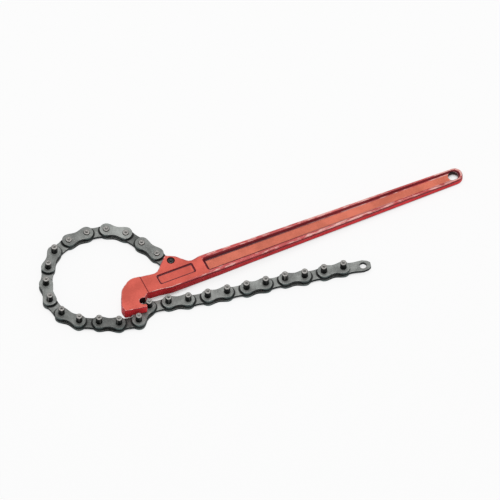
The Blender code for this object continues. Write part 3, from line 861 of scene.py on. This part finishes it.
class HandleShape:
    """The forging's outline and levels in its own frame: origin on the ear pin, +X along the shank."""

    def __init__(self, sizes, pin_radius):
        self.sizes = sizes
        self.pin_radius = pin_radius
        self.hooked = (PINS[HOOKED_PIN] - PINS[0]).to_2d()
        self.start = Vector((SHANK_START, -SHANK_START_DROP))
        self.eye = Vector((HANDLE_END - sizes.eye_radius, -EYE_DROP))
        self.axis = self.eye - self.start
        self.heading = math.degrees(math.atan2(self.axis.y, self.axis.x))
        rise = HEAD_MID_HEIGHT - EYE_THICKNESS / 2
        self.slope = math.asin(rise / (self.eye.x + sizes.eye_radius))
        self.level = (HEAD_MID_HEIGHT - PIVOT_HEIGHT) / math.cos(self.slope)
        self.step = self.hooked.x * NOSE_STEP_SHARE
        origin = Vector((PINS[0].x, PINS[0].y, PIVOT_HEIGHT))
        self.place = Matrix.Translation(origin) @ Matrix.Rotation(self.slope, 4, "Y")

    def head_corner(self, share):
        place = Vector((self.hooked.x * share[0], self.hooked.y * share[1]))
        return place, self.hooked.length * share[2]

    def notch_half_width(self):
        return self.pin_radius + NOTCH_PLAY / 2

    def notch_bottom(self):
        return self.hooked - direction(NOTCH_HEADING) * NOTCH_DEPTH

    def hook_corners(self):
        # The toe, then a round-ended notch behind the hooked pin, open towards it
        half_width = self.notch_half_width()
        along = direction(NOTCH_HEADING)
        across = Vector((-along.y, along.x))
        bottom = self.notch_bottom()
        mouth = (self.hooked.x * TOE_END_SHARE - bottom.x) / along.x
        tip = bottom - across * half_width + along * mouth
        end = tip + direction(TOE_FACE_HEADING) * TOE_THICKNESS
        base = direction(TOE_BASE_HEADING)
        back = end + base * (self.hooked.x * TOE_BACK_SHARE - end.x) / base.x
        lip = bottom + across * half_width + along * mouth * NOTCH_LIP_REACH_SHARE
        notch = arc(bottom, half_width, NOTCH_HEADING - 90, NOTCH_HEADING - 270)
        size = self.hooked.length
        return [
            (back, size * TOE_ROUND_SHARE),
            (end, size * TOE_ROUND_SHARE),
            (tip, size * TOE_TIP_ROUND_SHARE),
            *((point, 0) for point in notch),
            (lip, size * NOTCH_LIP_ROUND_SHARE),
        ]

    def tapered_end(self, start_half_width, end_radius):
        # A round end about the eye, and the two places where its straight edges start
        lean = math.degrees(math.asin((start_half_width - end_radius) / self.axis.length))
        end = arc(self.eye, end_radius, self.heading - 90 + lean, self.heading + 90 - lean)
        across = direction(self.heading + 90) * start_half_width
        return end, self.start + across, self.start - across

    def outline(self):
        end, upper, lower = self.tapered_end(self.sizes.shank_half_width, self.sizes.eye_radius)
        corners = [(point, 0) for point in end]
        corners.append((upper, 0))
        corners += [self.head_corner(share) for share in EAR_CORNER_SHARES + NOSE_CORNER_SHARES]
        corners += self.hook_corners()
        corners += [self.head_corner(share) for share in THROAT_CORNER_SHARES]
        corners.append((lower, 0))
        return rounded(corners)

    def stations(self):
        # Places along the handle where its thickness changes
        head = self.sizes.head_thickness
        return (
            (self.step - NOSE_STEP_RUN / 2, NOSE_THICKNESS / 2),
            (self.step + NOSE_STEP_RUN / 2, head / 2),
            (HEAD_END, head / 2),
            (NECK_END, NECK_THICKNESS / 2),
            (self.eye.x, EYE_THICKNESS / 2),
        )

    def half_thickness(self, x):
        stations = self.stations()
        if x <= stations[0][0]:
            return stations[0][1]
        for (near, thick), (far, thin) in zip(stations, stations[1:]):
            if x <= far:
                return thick + (thin - thick) * (x - near) / (far - near)
        return stations[-1][1]

    def recess(self, inset):
        # The flanges run together round the hanging hole
        end, _, _ = self.tapered_end(RECESS_START_HALF_WIDTH - inset, RECESS_END_RADIUS - inset)
        left = RECESS_START + inset
        share = (left - SHANK_START) / (self.eye.x - SHANK_START)
        middle = self.start + self.axis * share
        half = RECESS_START_HALF_WIDTH + (RECESS_END_RADIUS - RECESS_START_HALF_WIDTH) * share - inset
        corners = [(point, 0) for point in end]
        corners.append((middle + Vector((0, half)), RECESS_CORNER - inset))
        corners.append((middle - Vector((0, half)), RECESS_CORNER - inset))
        return rounded(corners)

    def panel(self, inset):
        left = PANEL_CENTRE_X - PANEL_LENGTH / 2 + inset
        right = PANEL_CENTRE_X + PANEL_LENGTH / 2 - inset
        low = -PANEL_CENTRE_DROP - PANEL_WIDTH / 2 + inset
        high = -PANEL_CENTRE_DROP + PANEL_WIDTH / 2 - inset
        places = ((right, low), (right, high), (left, high), (left, low))
        return rounded([(Vector(place), PANEL_CORNER) for place in places])


def eased_ramp(run, ease):
    # Steps of (distance in, share of the depth) down a slope that is rounded at its top and foot
    places = [-ease + 2 * ease * step / EASE_STEPS for step in range(EASE_STEPS + 1)]
    places += [1 + place for place in places]
    ramp = []
    for place in places:
        if place <= ease:
            share = (place + ease) ** 2 / (4 * ease)
        else:
            share = 1 - (1 + ease - place) ** 2 / (4 * ease)
        ramp.append((place * run, share))
    return ramp


def pocket_cutter(name, outline, run, ease, shade_reach, surface, floor, side, level, floor_slot):
    # A cutter whose mouth flares out until it nearly meets the surface, with painted shade at its foot
    bm = bmesh.new()
    mark(bm, "pooled", (), 0)
    rings = []
    ramp = eased_ramp(run, ease)
    foot = ramp[-1][0]
    ramp.append((foot + shade_reach / 2, 1))
    ramp.append((foot + shade_reach, 1))
    ramp.insert(0, (ramp[0][0] - MOUTH_FLARE, -MOUTH_RISE_SHARE))
    for distance, share in ramp:
        ring = []
        for point in outline(distance):
            rise = (surface(point.x) - floor) * (1 + CUT_LIFT_SHARE) * (1 - share)
            ring.append(bm.verts.new((point.x, point.y, level + side * (floor + rise))))
        rings.append(ring)
    for ring, amount in zip(rings[-len(SHADE_AMOUNTS):], SHADE_AMOUNTS):
        mark(bm, "pooled", ring, amount)
    for upper, lower in zip(rings[:-2], rings[1:-2]):
        wall(bm, lower, upper, slot=RIMS)
    for upper, lower in zip(rings[-3:], rings[-2:]):
        wall(bm, lower, upper, slot=floor_slot)
    fill(bm, [rings[0]])
    fill(bm, [rings[-1]], slot=floor_slot)
    return add_object(name, finish_mesh(name, bm))


def prism(name, outline, low, high, slot=0):
    bm = bmesh.new()
    lower = loop(bm, outline, low)
    upper = loop(bm, outline, high)
    wall(bm, lower, upper)
    fill(bm, [lower])
    fill(bm, [upper])
    for face in bm.faces:
        face.material_index = slot
    return add_object(name, finish_mesh(name, bm))


def cut(piece, cutter, operation="DIFFERENCE"):
    modifier = piece.modifiers.new(cutter.name, "BOOLEAN")
    modifier.operation = operation
    modifier.object = cutter
    modifier.solver = "MANIFOLD"


def settle(piece, cutters):
    # The evaluated shape becomes the piece's own mesh, and the cutters go
    bpy.context.view_layer.update()
    graph = bpy.context.evaluated_depsgraph_get()
    mesh = bpy.data.meshes.new_from_object(piece.evaluated_get(graph))
    if not mesh.polygons:
        raise RuntimeError(f"The cuts left nothing of {piece.name}")
    piece.modifiers.clear()
    piece.data = mesh
    for cutter in cutters:
        bpy.data.objects.remove(cutter)


def rounding_share(x):
    # The nose is crisp, and the edges of the shank are well rounded
    share = min(1, max(0, (x - CRISP_UNTIL) / (HEAD_END - CRISP_UNTIL)))
    return CRISP_EDGE_SHARE + (1 - CRISP_EDGE_SHARE) * share


def handle_blank(shape):
    # A level counts 2 on a flat face and 1 where its edge rounding ends, until the thickness is known
    bm = bmesh.new()
    mark(bm, "pooled", (), 0)
    outline = shape.outline()
    edge_round = shape.sizes.edge_round
    widths = [edge_round * rounding_share(point.x) for point in outline]
    turns = quarter_turns(EDGE_STEPS)
    rings = []
    for side, order in ((-1, turns), (1, turns[::-1])):
        for turn in order:
            drawn_in = inset(outline, [width * (1 - math.sin(turn)) for width in widths])
            rings.append(loop(bm, drawn_in, side * (1 + math.cos(turn))))
    for index, (lower, upper) in enumerate(zip(rings, rings[1:])):
        wall(bm, lower, upper, slot=FLATS if index == EDGE_STEPS else RIMS)
    fill(bm, [rings[0]])
    fill(bm, [rings[-1]])
    crease = [(shape.step + NOSE_STEP_RUN * share, amount) for share, amount in NOSE_CREASE]
    for station, _ in (*shape.stations(), *crease, (RECESS_START, 0)):
        geometry = bm.verts[:] + bm.edges[:] + bm.faces[:]
        bmesh.ops.bisect_plane(bm, geom=geometry, plane_co=(station, 0, 0), plane_no=(1, 0, 0))
    bmesh.ops.remove_doubles(bm, verts=bm.verts, dist=MERGE_DISTANCE)
    # Painted shade along the crease behind the nose
    for place, amount in crease:
        near = [vert for vert in bm.verts if abs(vert.co.x - place) < MERGE_DISTANCE]
        mark(bm, "pooled", [vert for vert in near if abs(vert.co.z) > 1 + CREASE_ABOVE], amount)
    for vert in bm.verts:
        drop = (2 - abs(vert.co.z)) * edge_round * rounding_share(vert.co.x)
        height = shape.half_thickness(vert.co.x) - drop
        vert.co.z = shape.level + math.copysign(height, vert.co.z)
    return add_object("forged_handle", finish_mesh("forged_handle", bm))


def ear_cutters(shape, pin_radius, inner_reach):
    # The lug that reaches down to the chain, then the slot, the bore and the counterbore in it
    level = shape.level
    lug_foot = LUG_FLOOR_GAP - PIVOT_HEIGHT
    back = inner_reach + SLOT_BACK_CLEARANCE
    corners = [(point, 0) for point in arc((0, 0), LUG_RADIUS, *LUG_ARC)]
    corners.append((Vector((-LUG_RADIUS, -back - HEEL_LENGTH)), HEEL_CORNER))
    corners.append((Vector((LUG_RADIUS, -back - HEEL_LENGTH)), HEEL_CORNER))
    lug = prism("lug_form", rounded(corners), lug_foot, level)
    half = (INNER_TOP - INNER_FOOT) / 2 + SLOT_PLAY
    side = SLOT_HALF_WIDTH
    places = ((-side, -back), (side, -back), (side, side), (-side, side))
    slot = prism("slot_form", [Vector(place) for place in places], -half, half)
    top = level + shape.sizes.head_thickness / 2
    reach = circle((0, 0), pin_radius + BORE_CLEARANCE, PIN_SIDES)
    bore = prism("bore_form", reach, lug_foot - OVERRUN, top + OVERRUN, BORES)
    ring = circle((0, 0), pin_radius + COUNTERBORE_MARGIN, PIN_SIDES)
    sink = prism("counterbore_form", ring, top - COUNTERBORE_DEPTH, top + OVERRUN, BORES)
    return lug, (slot, bore, sink)


def relief_cutter(shape, outer_half_width, outer_reach):
    # The underside of the toe is cut back over the plates of the hooked link
    near = (PINS[HOOKED_PIN - 1] - PINS[0]).to_2d()
    far = shape.hooked
    along = (far - near).normalized()
    across = Vector((-along.y, along.x))
    margin = outer_half_width + RELIEF_MARGIN
    start = near - along * PITCH
    end = far + along * (outer_reach + RELIEF_MARGIN)
    outline = [start + across * margin, start - across * PITCH, end - across * PITCH, end + across * margin]
    ceiling = UPPER_TOP + TOE_CLEARANCE - PIVOT_HEIGHT - abs(far.x) * math.tan(shape.slope)
    foot = shape.level - NOSE_THICKNESS / 2 - OVERRUN
    return prism("relief_form", outline, foot, ceiling)


def sort_faces(handle, shape):
    # Upright faces get a shaded copy of the red, near-level rims a painted crest highlight, flange tops a
    # shaded copy, and the sides of the notch painted shade
    for face in handle.data.polygons:
        if face.material_index == FLATS and abs(face.normal.z) < SIDE_UP_TO:
            face.material_index = SIDES
        if face.material_index == FLATS and face.center.x > RECESS_START:
            face.material_index = FLANGES
        if face.material_index == SIDES:
            from_notch = (face.center.to_2d() - shape.notch_bottom()).length
            if from_notch < shape.notch_half_width() * NOTCH_SHADE_SHARE:
                face.material_index = BORES
        elif face.material_index == RIMS and abs(face.normal.z) > CREST_FROM:
            face.material_index = CREST_HIGHLIGHTS


def build_forging(sizes, chain, materials):
    pin_radius = chain.pin_diameter / 2
    shape = HandleShape(sizes, pin_radius)
    level = shape.level
    handle = handle_blank(shape)
    lug, cutters = ear_cutters(shape, pin_radius, chain.inner_half_width)
    cut(handle, lug, "UNION")
    cutters = [*cutters, relief_cutter(shape, chain.outer_half_width, chain.outer_reach)]
    web = sizes.web_thickness / 2
    for side, label in ((1, "upper"), (-1, "lower")):
        cutters.append(pocket_cutter(
            f"{label}_recess_form", shape.recess, RECESS_WALL_RUN, RECESS_EASE, RECESS_SHADE_REACH,
            shape.half_thickness, web, side, level, WEB))
    panel_floor = sizes.head_thickness / 2 - PANEL_DEPTH
    cutters.append(pocket_cutter(
        "panel_form", shape.panel, PANEL_WALL_RUN, PANEL_EASE, PANEL_SHADE_REACH,
        shape.half_thickness, panel_floor, 1, level, FLATS))
    centre = shape.eye - Vector((HANGING_HOLE_SETBACK, 0))
    hole = circle(centre, sizes.hanging_hole / 2, HANGING_HOLE_SIDES)
    cutters.append(prism("hanging_hole_form", hole, level - NOSE_THICKNESS, level + NOSE_THICKNESS, BORES))
    for piece in (handle, lug, *cutters):
        for material in materials:
            piece.data.materials.append(material)
    for cutter in cutters:
        cut(handle, cutter)
    settle(handle, [lug, *cutters])
    sort_faces(handle, shape)
    handle.data.transform(shape.place)
    handle.data.shade_smooth()
    handle.data.set_sharp_from_angle(angle=math.radians(SHARP_DEGREES))
    return handle


# How the steels differ from the plates' grey, and how freely the inner plates turn
BRIGHT_STEEL_SHARE = 2.0
INNER_SHARE = 1.05
INNER_BRIGHT_STEEL_SHARE = 2.1
PIN_BRIGHT_STEEL_SHARE = 4
LOBE_EDGE_SHARE = 1.02
TURNING_PLAY = 0.08 * MM


class WRENCH_OT_handle(bpy.types.Operator):
    """Builds the forged handle with its hook, ear, dished shank and hanging hole"""
    bl_idname = "wrench.handle"
    bl_label = "Forged handle"

    def execute(self, context):
        sizes = context.scene.wrench_handle
        finish = context.scene.wrench_finish
        # Mostly painted shade, with some grease: bores, hanging hole and notch sides take a nearly black
        # red
        bore_shade = brighter(finish.pooled, BORE_SHADE_SHARE)
        # Lit and shaded copies of one red: painted sheen on flats and web, painted shade on rims, sides and
        # flanges, painted highlight on crests
        materials = (
            paint_material("enamel_flats", finish.paint, finish.pooled, roughness=0.46, gloss=0.3),
            paint_material("enamel_rims", finish.rim, finish.pooled, roughness=0.25, gloss=0.4),
            paint_material("soiled_bores", bore_shade, bore_shade, roughness=0.5, gloss=0.1),
            paint_material("enamel_sides", finish.sides, finish.rim, roughness=0.4, gloss=0.06),
            paint_material("enamel_web", finish.web, finish.pooled, roughness=0.5, gloss=0.3),
            paint_material(
                "enamel_crests", finish.flange, finish.pooled, roughness=0.25, gloss=0.4,
                crest=finish.crest, cover=CREST_COVER),
            paint_material(
                "enamel_flanges", finish.flange, finish.pooled, roughness=0.35, gloss=0.3,
                crest=finish.crest, cover=FLANGE_COVER))
        handle = build_forging(sizes, context.scene.wrench_chain, materials)
        carry(handle, "handle", "handle")
        return {"FINISHED"}


class WRENCH_OT_ear_pin(bpy.types.Operator):
    """Builds the pin that ties the chain to the ear of the handle"""
    bl_idname = "wrench.ear_pin"
    bl_label = "Ear pin"

    def execute(self, context):
        chain = context.scene.wrench_chain
        finish = context.scene.wrench_finish
        shape = HandleShape(context.scene.wrench_handle, chain.pin_diameter / 2)
        foot = LUG_FLOOR_GAP - PIVOT_HEIGHT
        top = shape.level + shape.sizes.head_thickness / 2 - EAR_PIN_SINK
        mesh = pin_mesh("ear_pin_turned", shape.pin_radius, top, chain, foot)
        # Oxide and painted shade: the ear pin's end is nearly black
        mesh.materials.append(steel_material(
            "blackened_steel", finish.oxide, brighter(finish.oxide, PIN_BRIGHT_STEEL_SHARE), roughness=0.3))
        add_piece("ear_pin_turned", mesh, "handle", "ear_pin", shape.place)
        return {"FINISHED"}


def outer_plates(chain, materials):
    outline = plate_outline(chain.outer_half_width, chain.outer_reach, chain.outer_waist)
    radius = chain.pin_diameter / 2
    holes = [((0, 0), radius), ((PITCH, 0), radius)]
    meshes = []
    for name, foot, top in (("lower_stamping", 0, LOWER_TOP), ("upper_stamping", UPPER_FOOT, UPPER_TOP)):
        mesh = plate_mesh(name, outline, holes, foot, top, chain.plate_edge)
        for material in materials:
            mesh.materials.append(material)
        meshes.append(mesh)
    return meshes


class WRENCH_OT_outer_plates(bpy.types.Operator):
    """Builds the upper and lower outer plates of every outer link"""
    bl_idname = "wrench.outer_plates"
    bl_label = "Outer plates"

    def execute(self, context):
        finish = context.scene.wrench_finish
        bright_steel = brighter(finish.plate, BRIGHT_STEEL_SHARE)
        steel = steel_material("outer_plate_steel", finish.plate, bright_steel, roughness=0.55)
        chain = context.scene.wrench_chain
        edges = cut_edge_material(
            "outer_cut_edge", finish.edge_oxide, finish.lobe_edge, chain.outer_reach * LOBE_EDGE_SHARE)
        lower, upper = outer_plates(chain, (steel, edges))
        for index in range(1, len(PINS), 2):
            number = index // 2 + 1
            body = LINK_BODIES[index]
            riveted = number <= RIVETED_LINKS
            for label, mesh in (("lower", lower), ("upper", upper)):
                node = f"riveted_link_{number:02d}" if riveted else f"{label}_plate_{number:02d}"
                add_piece(f"{label}_outer_plate_{number:02d}", mesh, body, node,
                          link_place(index), LINK_TONE_SHARES.get(index, 1))
        return {"FINISHED"}


class WRENCH_OT_inner_plates(bpy.types.Operator):
    """Builds the single inner plates between the outer links, and the loose end plate"""
    bl_idname = "wrench.inner_plates"
    bl_label = "Inner plates"

    def execute(self, context):
        chain = context.scene.wrench_chain
        finish = context.scene.wrench_finish
        colour = brighter(finish.plate, INNER_SHARE)
        bright_steel = brighter(colour, INNER_BRIGHT_STEEL_SHARE)
        # Painted shadow of the outer lobes on the inner plates
        shadow_reach = chain.outer_reach + LOBE_SHADOW_MARGIN
        steel = steel_material("inner_plate_steel", colour, bright_steel, roughness=0.53, lobe_shadow_reach=shadow_reach)
        radius = chain.pin_diameter / 2 + TURNING_PLAY
        reach = chain.inner_half_width
        near, far = ((0, 0), radius), ((PITCH, 0), radius)
        levels = (INNER_FOOT, INNER_TOP)
        outline = plate_outline(chain.inner_half_width, reach, chain.inner_waist)
        mesh = plate_mesh("inner_stamping", outline, [near, far], *levels, chain.plate_edge)
        outline = tail_outline(chain.inner_half_width, reach, chain.inner_waist)
        far = ((PITCH, 0), TAIL_HOLE_DIAMETER / 2)
        tail = plate_mesh("loose_end_stamping", outline, [near, far], *levels, chain.plate_edge)
        # The inner plates' cut edges are painted dark as shade all round
        edges = cut_edge_material("inner_cut_edge", finish.edge_oxide, finish.edge_oxide, reach)
        loose = steel_material("loose_end_steel", colour, bright_steel, roughness=0.53)
        for plate, face_steel in ((mesh, steel), (tail, loose)):
            plate.materials.append(face_steel)
            plate.materials.append(edges)
        for index in range(0, len(PINS), 2):
            number = index // 2 + 1
            last = index == len(PINS) - 1
            name = "loose_end_plate" if last else f"inner_plate_{number:02d}"
            add_piece(name, tail if last else mesh, LINK_BODIES[index], f"inner_link_{number:02d}",
                      link_place(index), LINK_TONE_SHARES.get(index, 1))
        return {"FINISHED"}


class WRENCH_OT_pins(bpy.types.Operator):
    """Builds the short rivets near the handle and the tall hooking pins past them"""
    bl_idname = "wrench.pins"
    bl_label = "Chain pins"

    def execute(self, context):
        chain = context.scene.wrench_chain
        finish = context.scene.wrench_finish
        steel = pin_material("ground_pin_steel", finish.pin, finish.oxide)
        radius = chain.pin_diameter / 2
        tall = pin_mesh("tall_pin", radius, LONG_PIN_TOP, chain)
        short = pin_mesh("short_pin", radius, SHORT_PIN_TOP, chain)
        for mesh in (tall, short):
            mesh.materials.append(steel)
        for index in range(1, len(PINS)):
            link = index if index % 2 else index - 1
            number = link // 2 + 1
            riveted = number <= RIVETED_LINKS
            node = f"riveted_link_{number:02d}" if riveted else f"hook_pin_{index:02d}"
            place = link_place(link) @ Matrix.Translation((PITCH if link < index else 0, 0, 0))
            add_piece(f"chain_pin_{index:02d}", short if riveted else tall, LINK_BODIES[link], node,
                      place)
        return {"FINISHED"}


# Stage, with each lamp's name, power in watts and place
STAGE_SIZE = 6.0
FLOOR_DROP = 0.02 * MM
GAP_REACH = 12.0 * MM
GAP_SPAN = (0.1, 0.42)
FLOOR_GLOW = 0.85
WORLD_STRENGTH = 0.42
LAMP_SIZE = 1.0
LAMPS = (
    ("key", 17, Vector((0.0, 0.0, 2.4))),
    ("back_softbox", 13, Vector((0.30, 0.64, 2.3))),
)
CAMERA_DISTANCE = 2.0
VIEW_CENTRE = Vector((65.4 * MM, -8.9 * MM, 0))


def aimed(data, place, facing):
    # A lamp or a camera that looks along a direction, with its top up
    stand = bpy.data.objects.new(data.name, data)
    bpy.context.scene.collection.objects.link(stand)
    stand.location = place
    stand.rotation_euler = facing.to_track_quat("-Z", "Y").to_euler()
    return stand


def floor_material(colour):
    # White to the camera and in reflections, with a share left to show the shadow
    material, tree, shader = new_material("pale_floor")
    shader.inputs["Base Color"].default_value = (*colour, 1)
    shader.inputs["Roughness"].default_value = 0.9
    path = tree.nodes.new("ShaderNodeLightPath").outputs
    seen = math_node(tree, "MAXIMUM", path["Is Camera Ray"], path["Is Glossy Ray"])
    seen = math_node(tree, "MAXIMUM", seen, path["Is Transmission Ray"])
    gaps = tree.nodes.new("ShaderNodeAmbientOcclusion")
    gaps.inputs["Distance"].default_value = GAP_REACH
    open_share = remap(tree, gaps.outputs["AO"], GAP_SPAN, (0, FLOOR_GLOW))
    glow = tree.nodes.new("ShaderNodeEmission").outputs[0]
    share = math_node(tree, "MULTIPLY", seen, open_share)
    mixed = fed_node(tree, "ShaderNodeMixShader", (share, shader.outputs[0], glow))
    tree.links.new(mixed, tree.nodes["Material Output"].inputs["Surface"])
    return material


def studio_world():
    # Soft light from all round, and plain white where the camera sees past the floor
    world = bpy.data.worlds.new("studio")
    world.use_nodes = True
    tree = world.node_tree
    soft = tree.nodes["Background"]
    soft.inputs["Color"].default_value = (1, 1, 1, 1)
    soft.inputs["Strength"].default_value = WORLD_STRENGTH
    white = fed_node(tree, "ShaderNodeBackground", [(1, 1, 1)])
    path = tree.nodes.new("ShaderNodeLightPath").outputs
    mixed = fed_node(tree, "ShaderNodeMixShader", (path["Is Camera Ray"], soft.outputs[0], white))
    tree.links.new(mixed, tree.nodes["World Output"].inputs["Surface"])
    return world


class WRENCH_OT_stage(bpy.types.Operator):
    """Sets up the pale floor, the soft studio light and the camera"""
    bl_idname = "wrench.stage"
    bl_label = "Stage"

    def execute(self, context):
        stage = context.scene.wrench_stage
        bm = bmesh.new()
        bmesh.ops.create_grid(bm, x_segments=1, y_segments=1, size=STAGE_SIZE)
        floor = add_object("floor", finish_mesh("floor", bm))
        floor.location.z = -FLOOR_DROP
        floor.data.materials.append(floor_material(stage.floor))
        context.scene.world = studio_world()

        for name, energy, place in LAMPS:
            lamp = bpy.data.lights.new(name, "AREA")
            lamp.energy = energy
            lamp.size = LAMP_SIZE
            aimed(lamp, place, -place)

        azimuth, elevation = stage.azimuth, stage.elevation
        back = Vector((math.sin(azimuth) * math.cos(elevation),
                       -math.cos(azimuth) * math.cos(elevation), math.sin(elevation)))
        lens = bpy.data.cameras.new("camera")
        lens.type = "ORTHO"
        lens.ortho_scale = stage.view_width
        target = Vector((PINS[0].x, PINS[0].y, 0)) + VIEW_CENTRE
        context.scene.camera = aimed(lens, target + back * CAMERA_DISTANCE, -back)
        context.scene.view_settings.view_transform = "Standard"
        return {"FINISHED"}


OPERATORS = (
    WRENCH_OT_handle,
    WRENCH_OT_ear_pin,
    WRENCH_OT_outer_plates,
    WRENCH_OT_inner_plates,
    WRENCH_OT_pins,
    WRENCH_OT_stage,
)


class WRENCH_PT_panel(bpy.types.Panel):
    bl_idname = "WRENCH_PT_panel"
    bl_label = "Chain wrench"
    bl_space_type = "VIEW_3D"
    bl_region_type = "UI"
    bl_category = "Chain wrench"

    def draw(self, context):
        for operator in OPERATORS:
            self.layout.operator(operator.bl_idname)
        for group in SETTINGS:
            settings = getattr(context.scene, group)
            box = self.layout.box()
            for name in settings.bl_rna.properties.keys():
                if name not in ("rna_type", "name"):
                    box.prop(settings, name)


SETTINGS = {
    "wrench_chain": ChainSizes,
    "wrench_handle": HandleSizes,
    "wrench_finish": Finish,
    "wrench_stage": StageSettings,
}
CLASSES = (*SETTINGS.values(), *OPERATORS, WRENCH_PT_panel)


def register():
    for cls in CLASSES:
        bpy.utils.register_class(cls)
    for name, cls in SETTINGS.items():
        setattr(bpy.types.Scene, name, PointerProperty(type=cls))


def unregister():
    for name in SETTINGS:
        delattr(bpy.types.Scene, name)
    for cls in reversed(CLASSES):
        bpy.utils.unregister_class(cls)


def main():
    register()
    for operator in OPERATORS:
        group, name = operator.bl_idname.split(".")
        getattr(getattr(bpy.ops, group), name)()


if __name__ == "__main__":
    main()
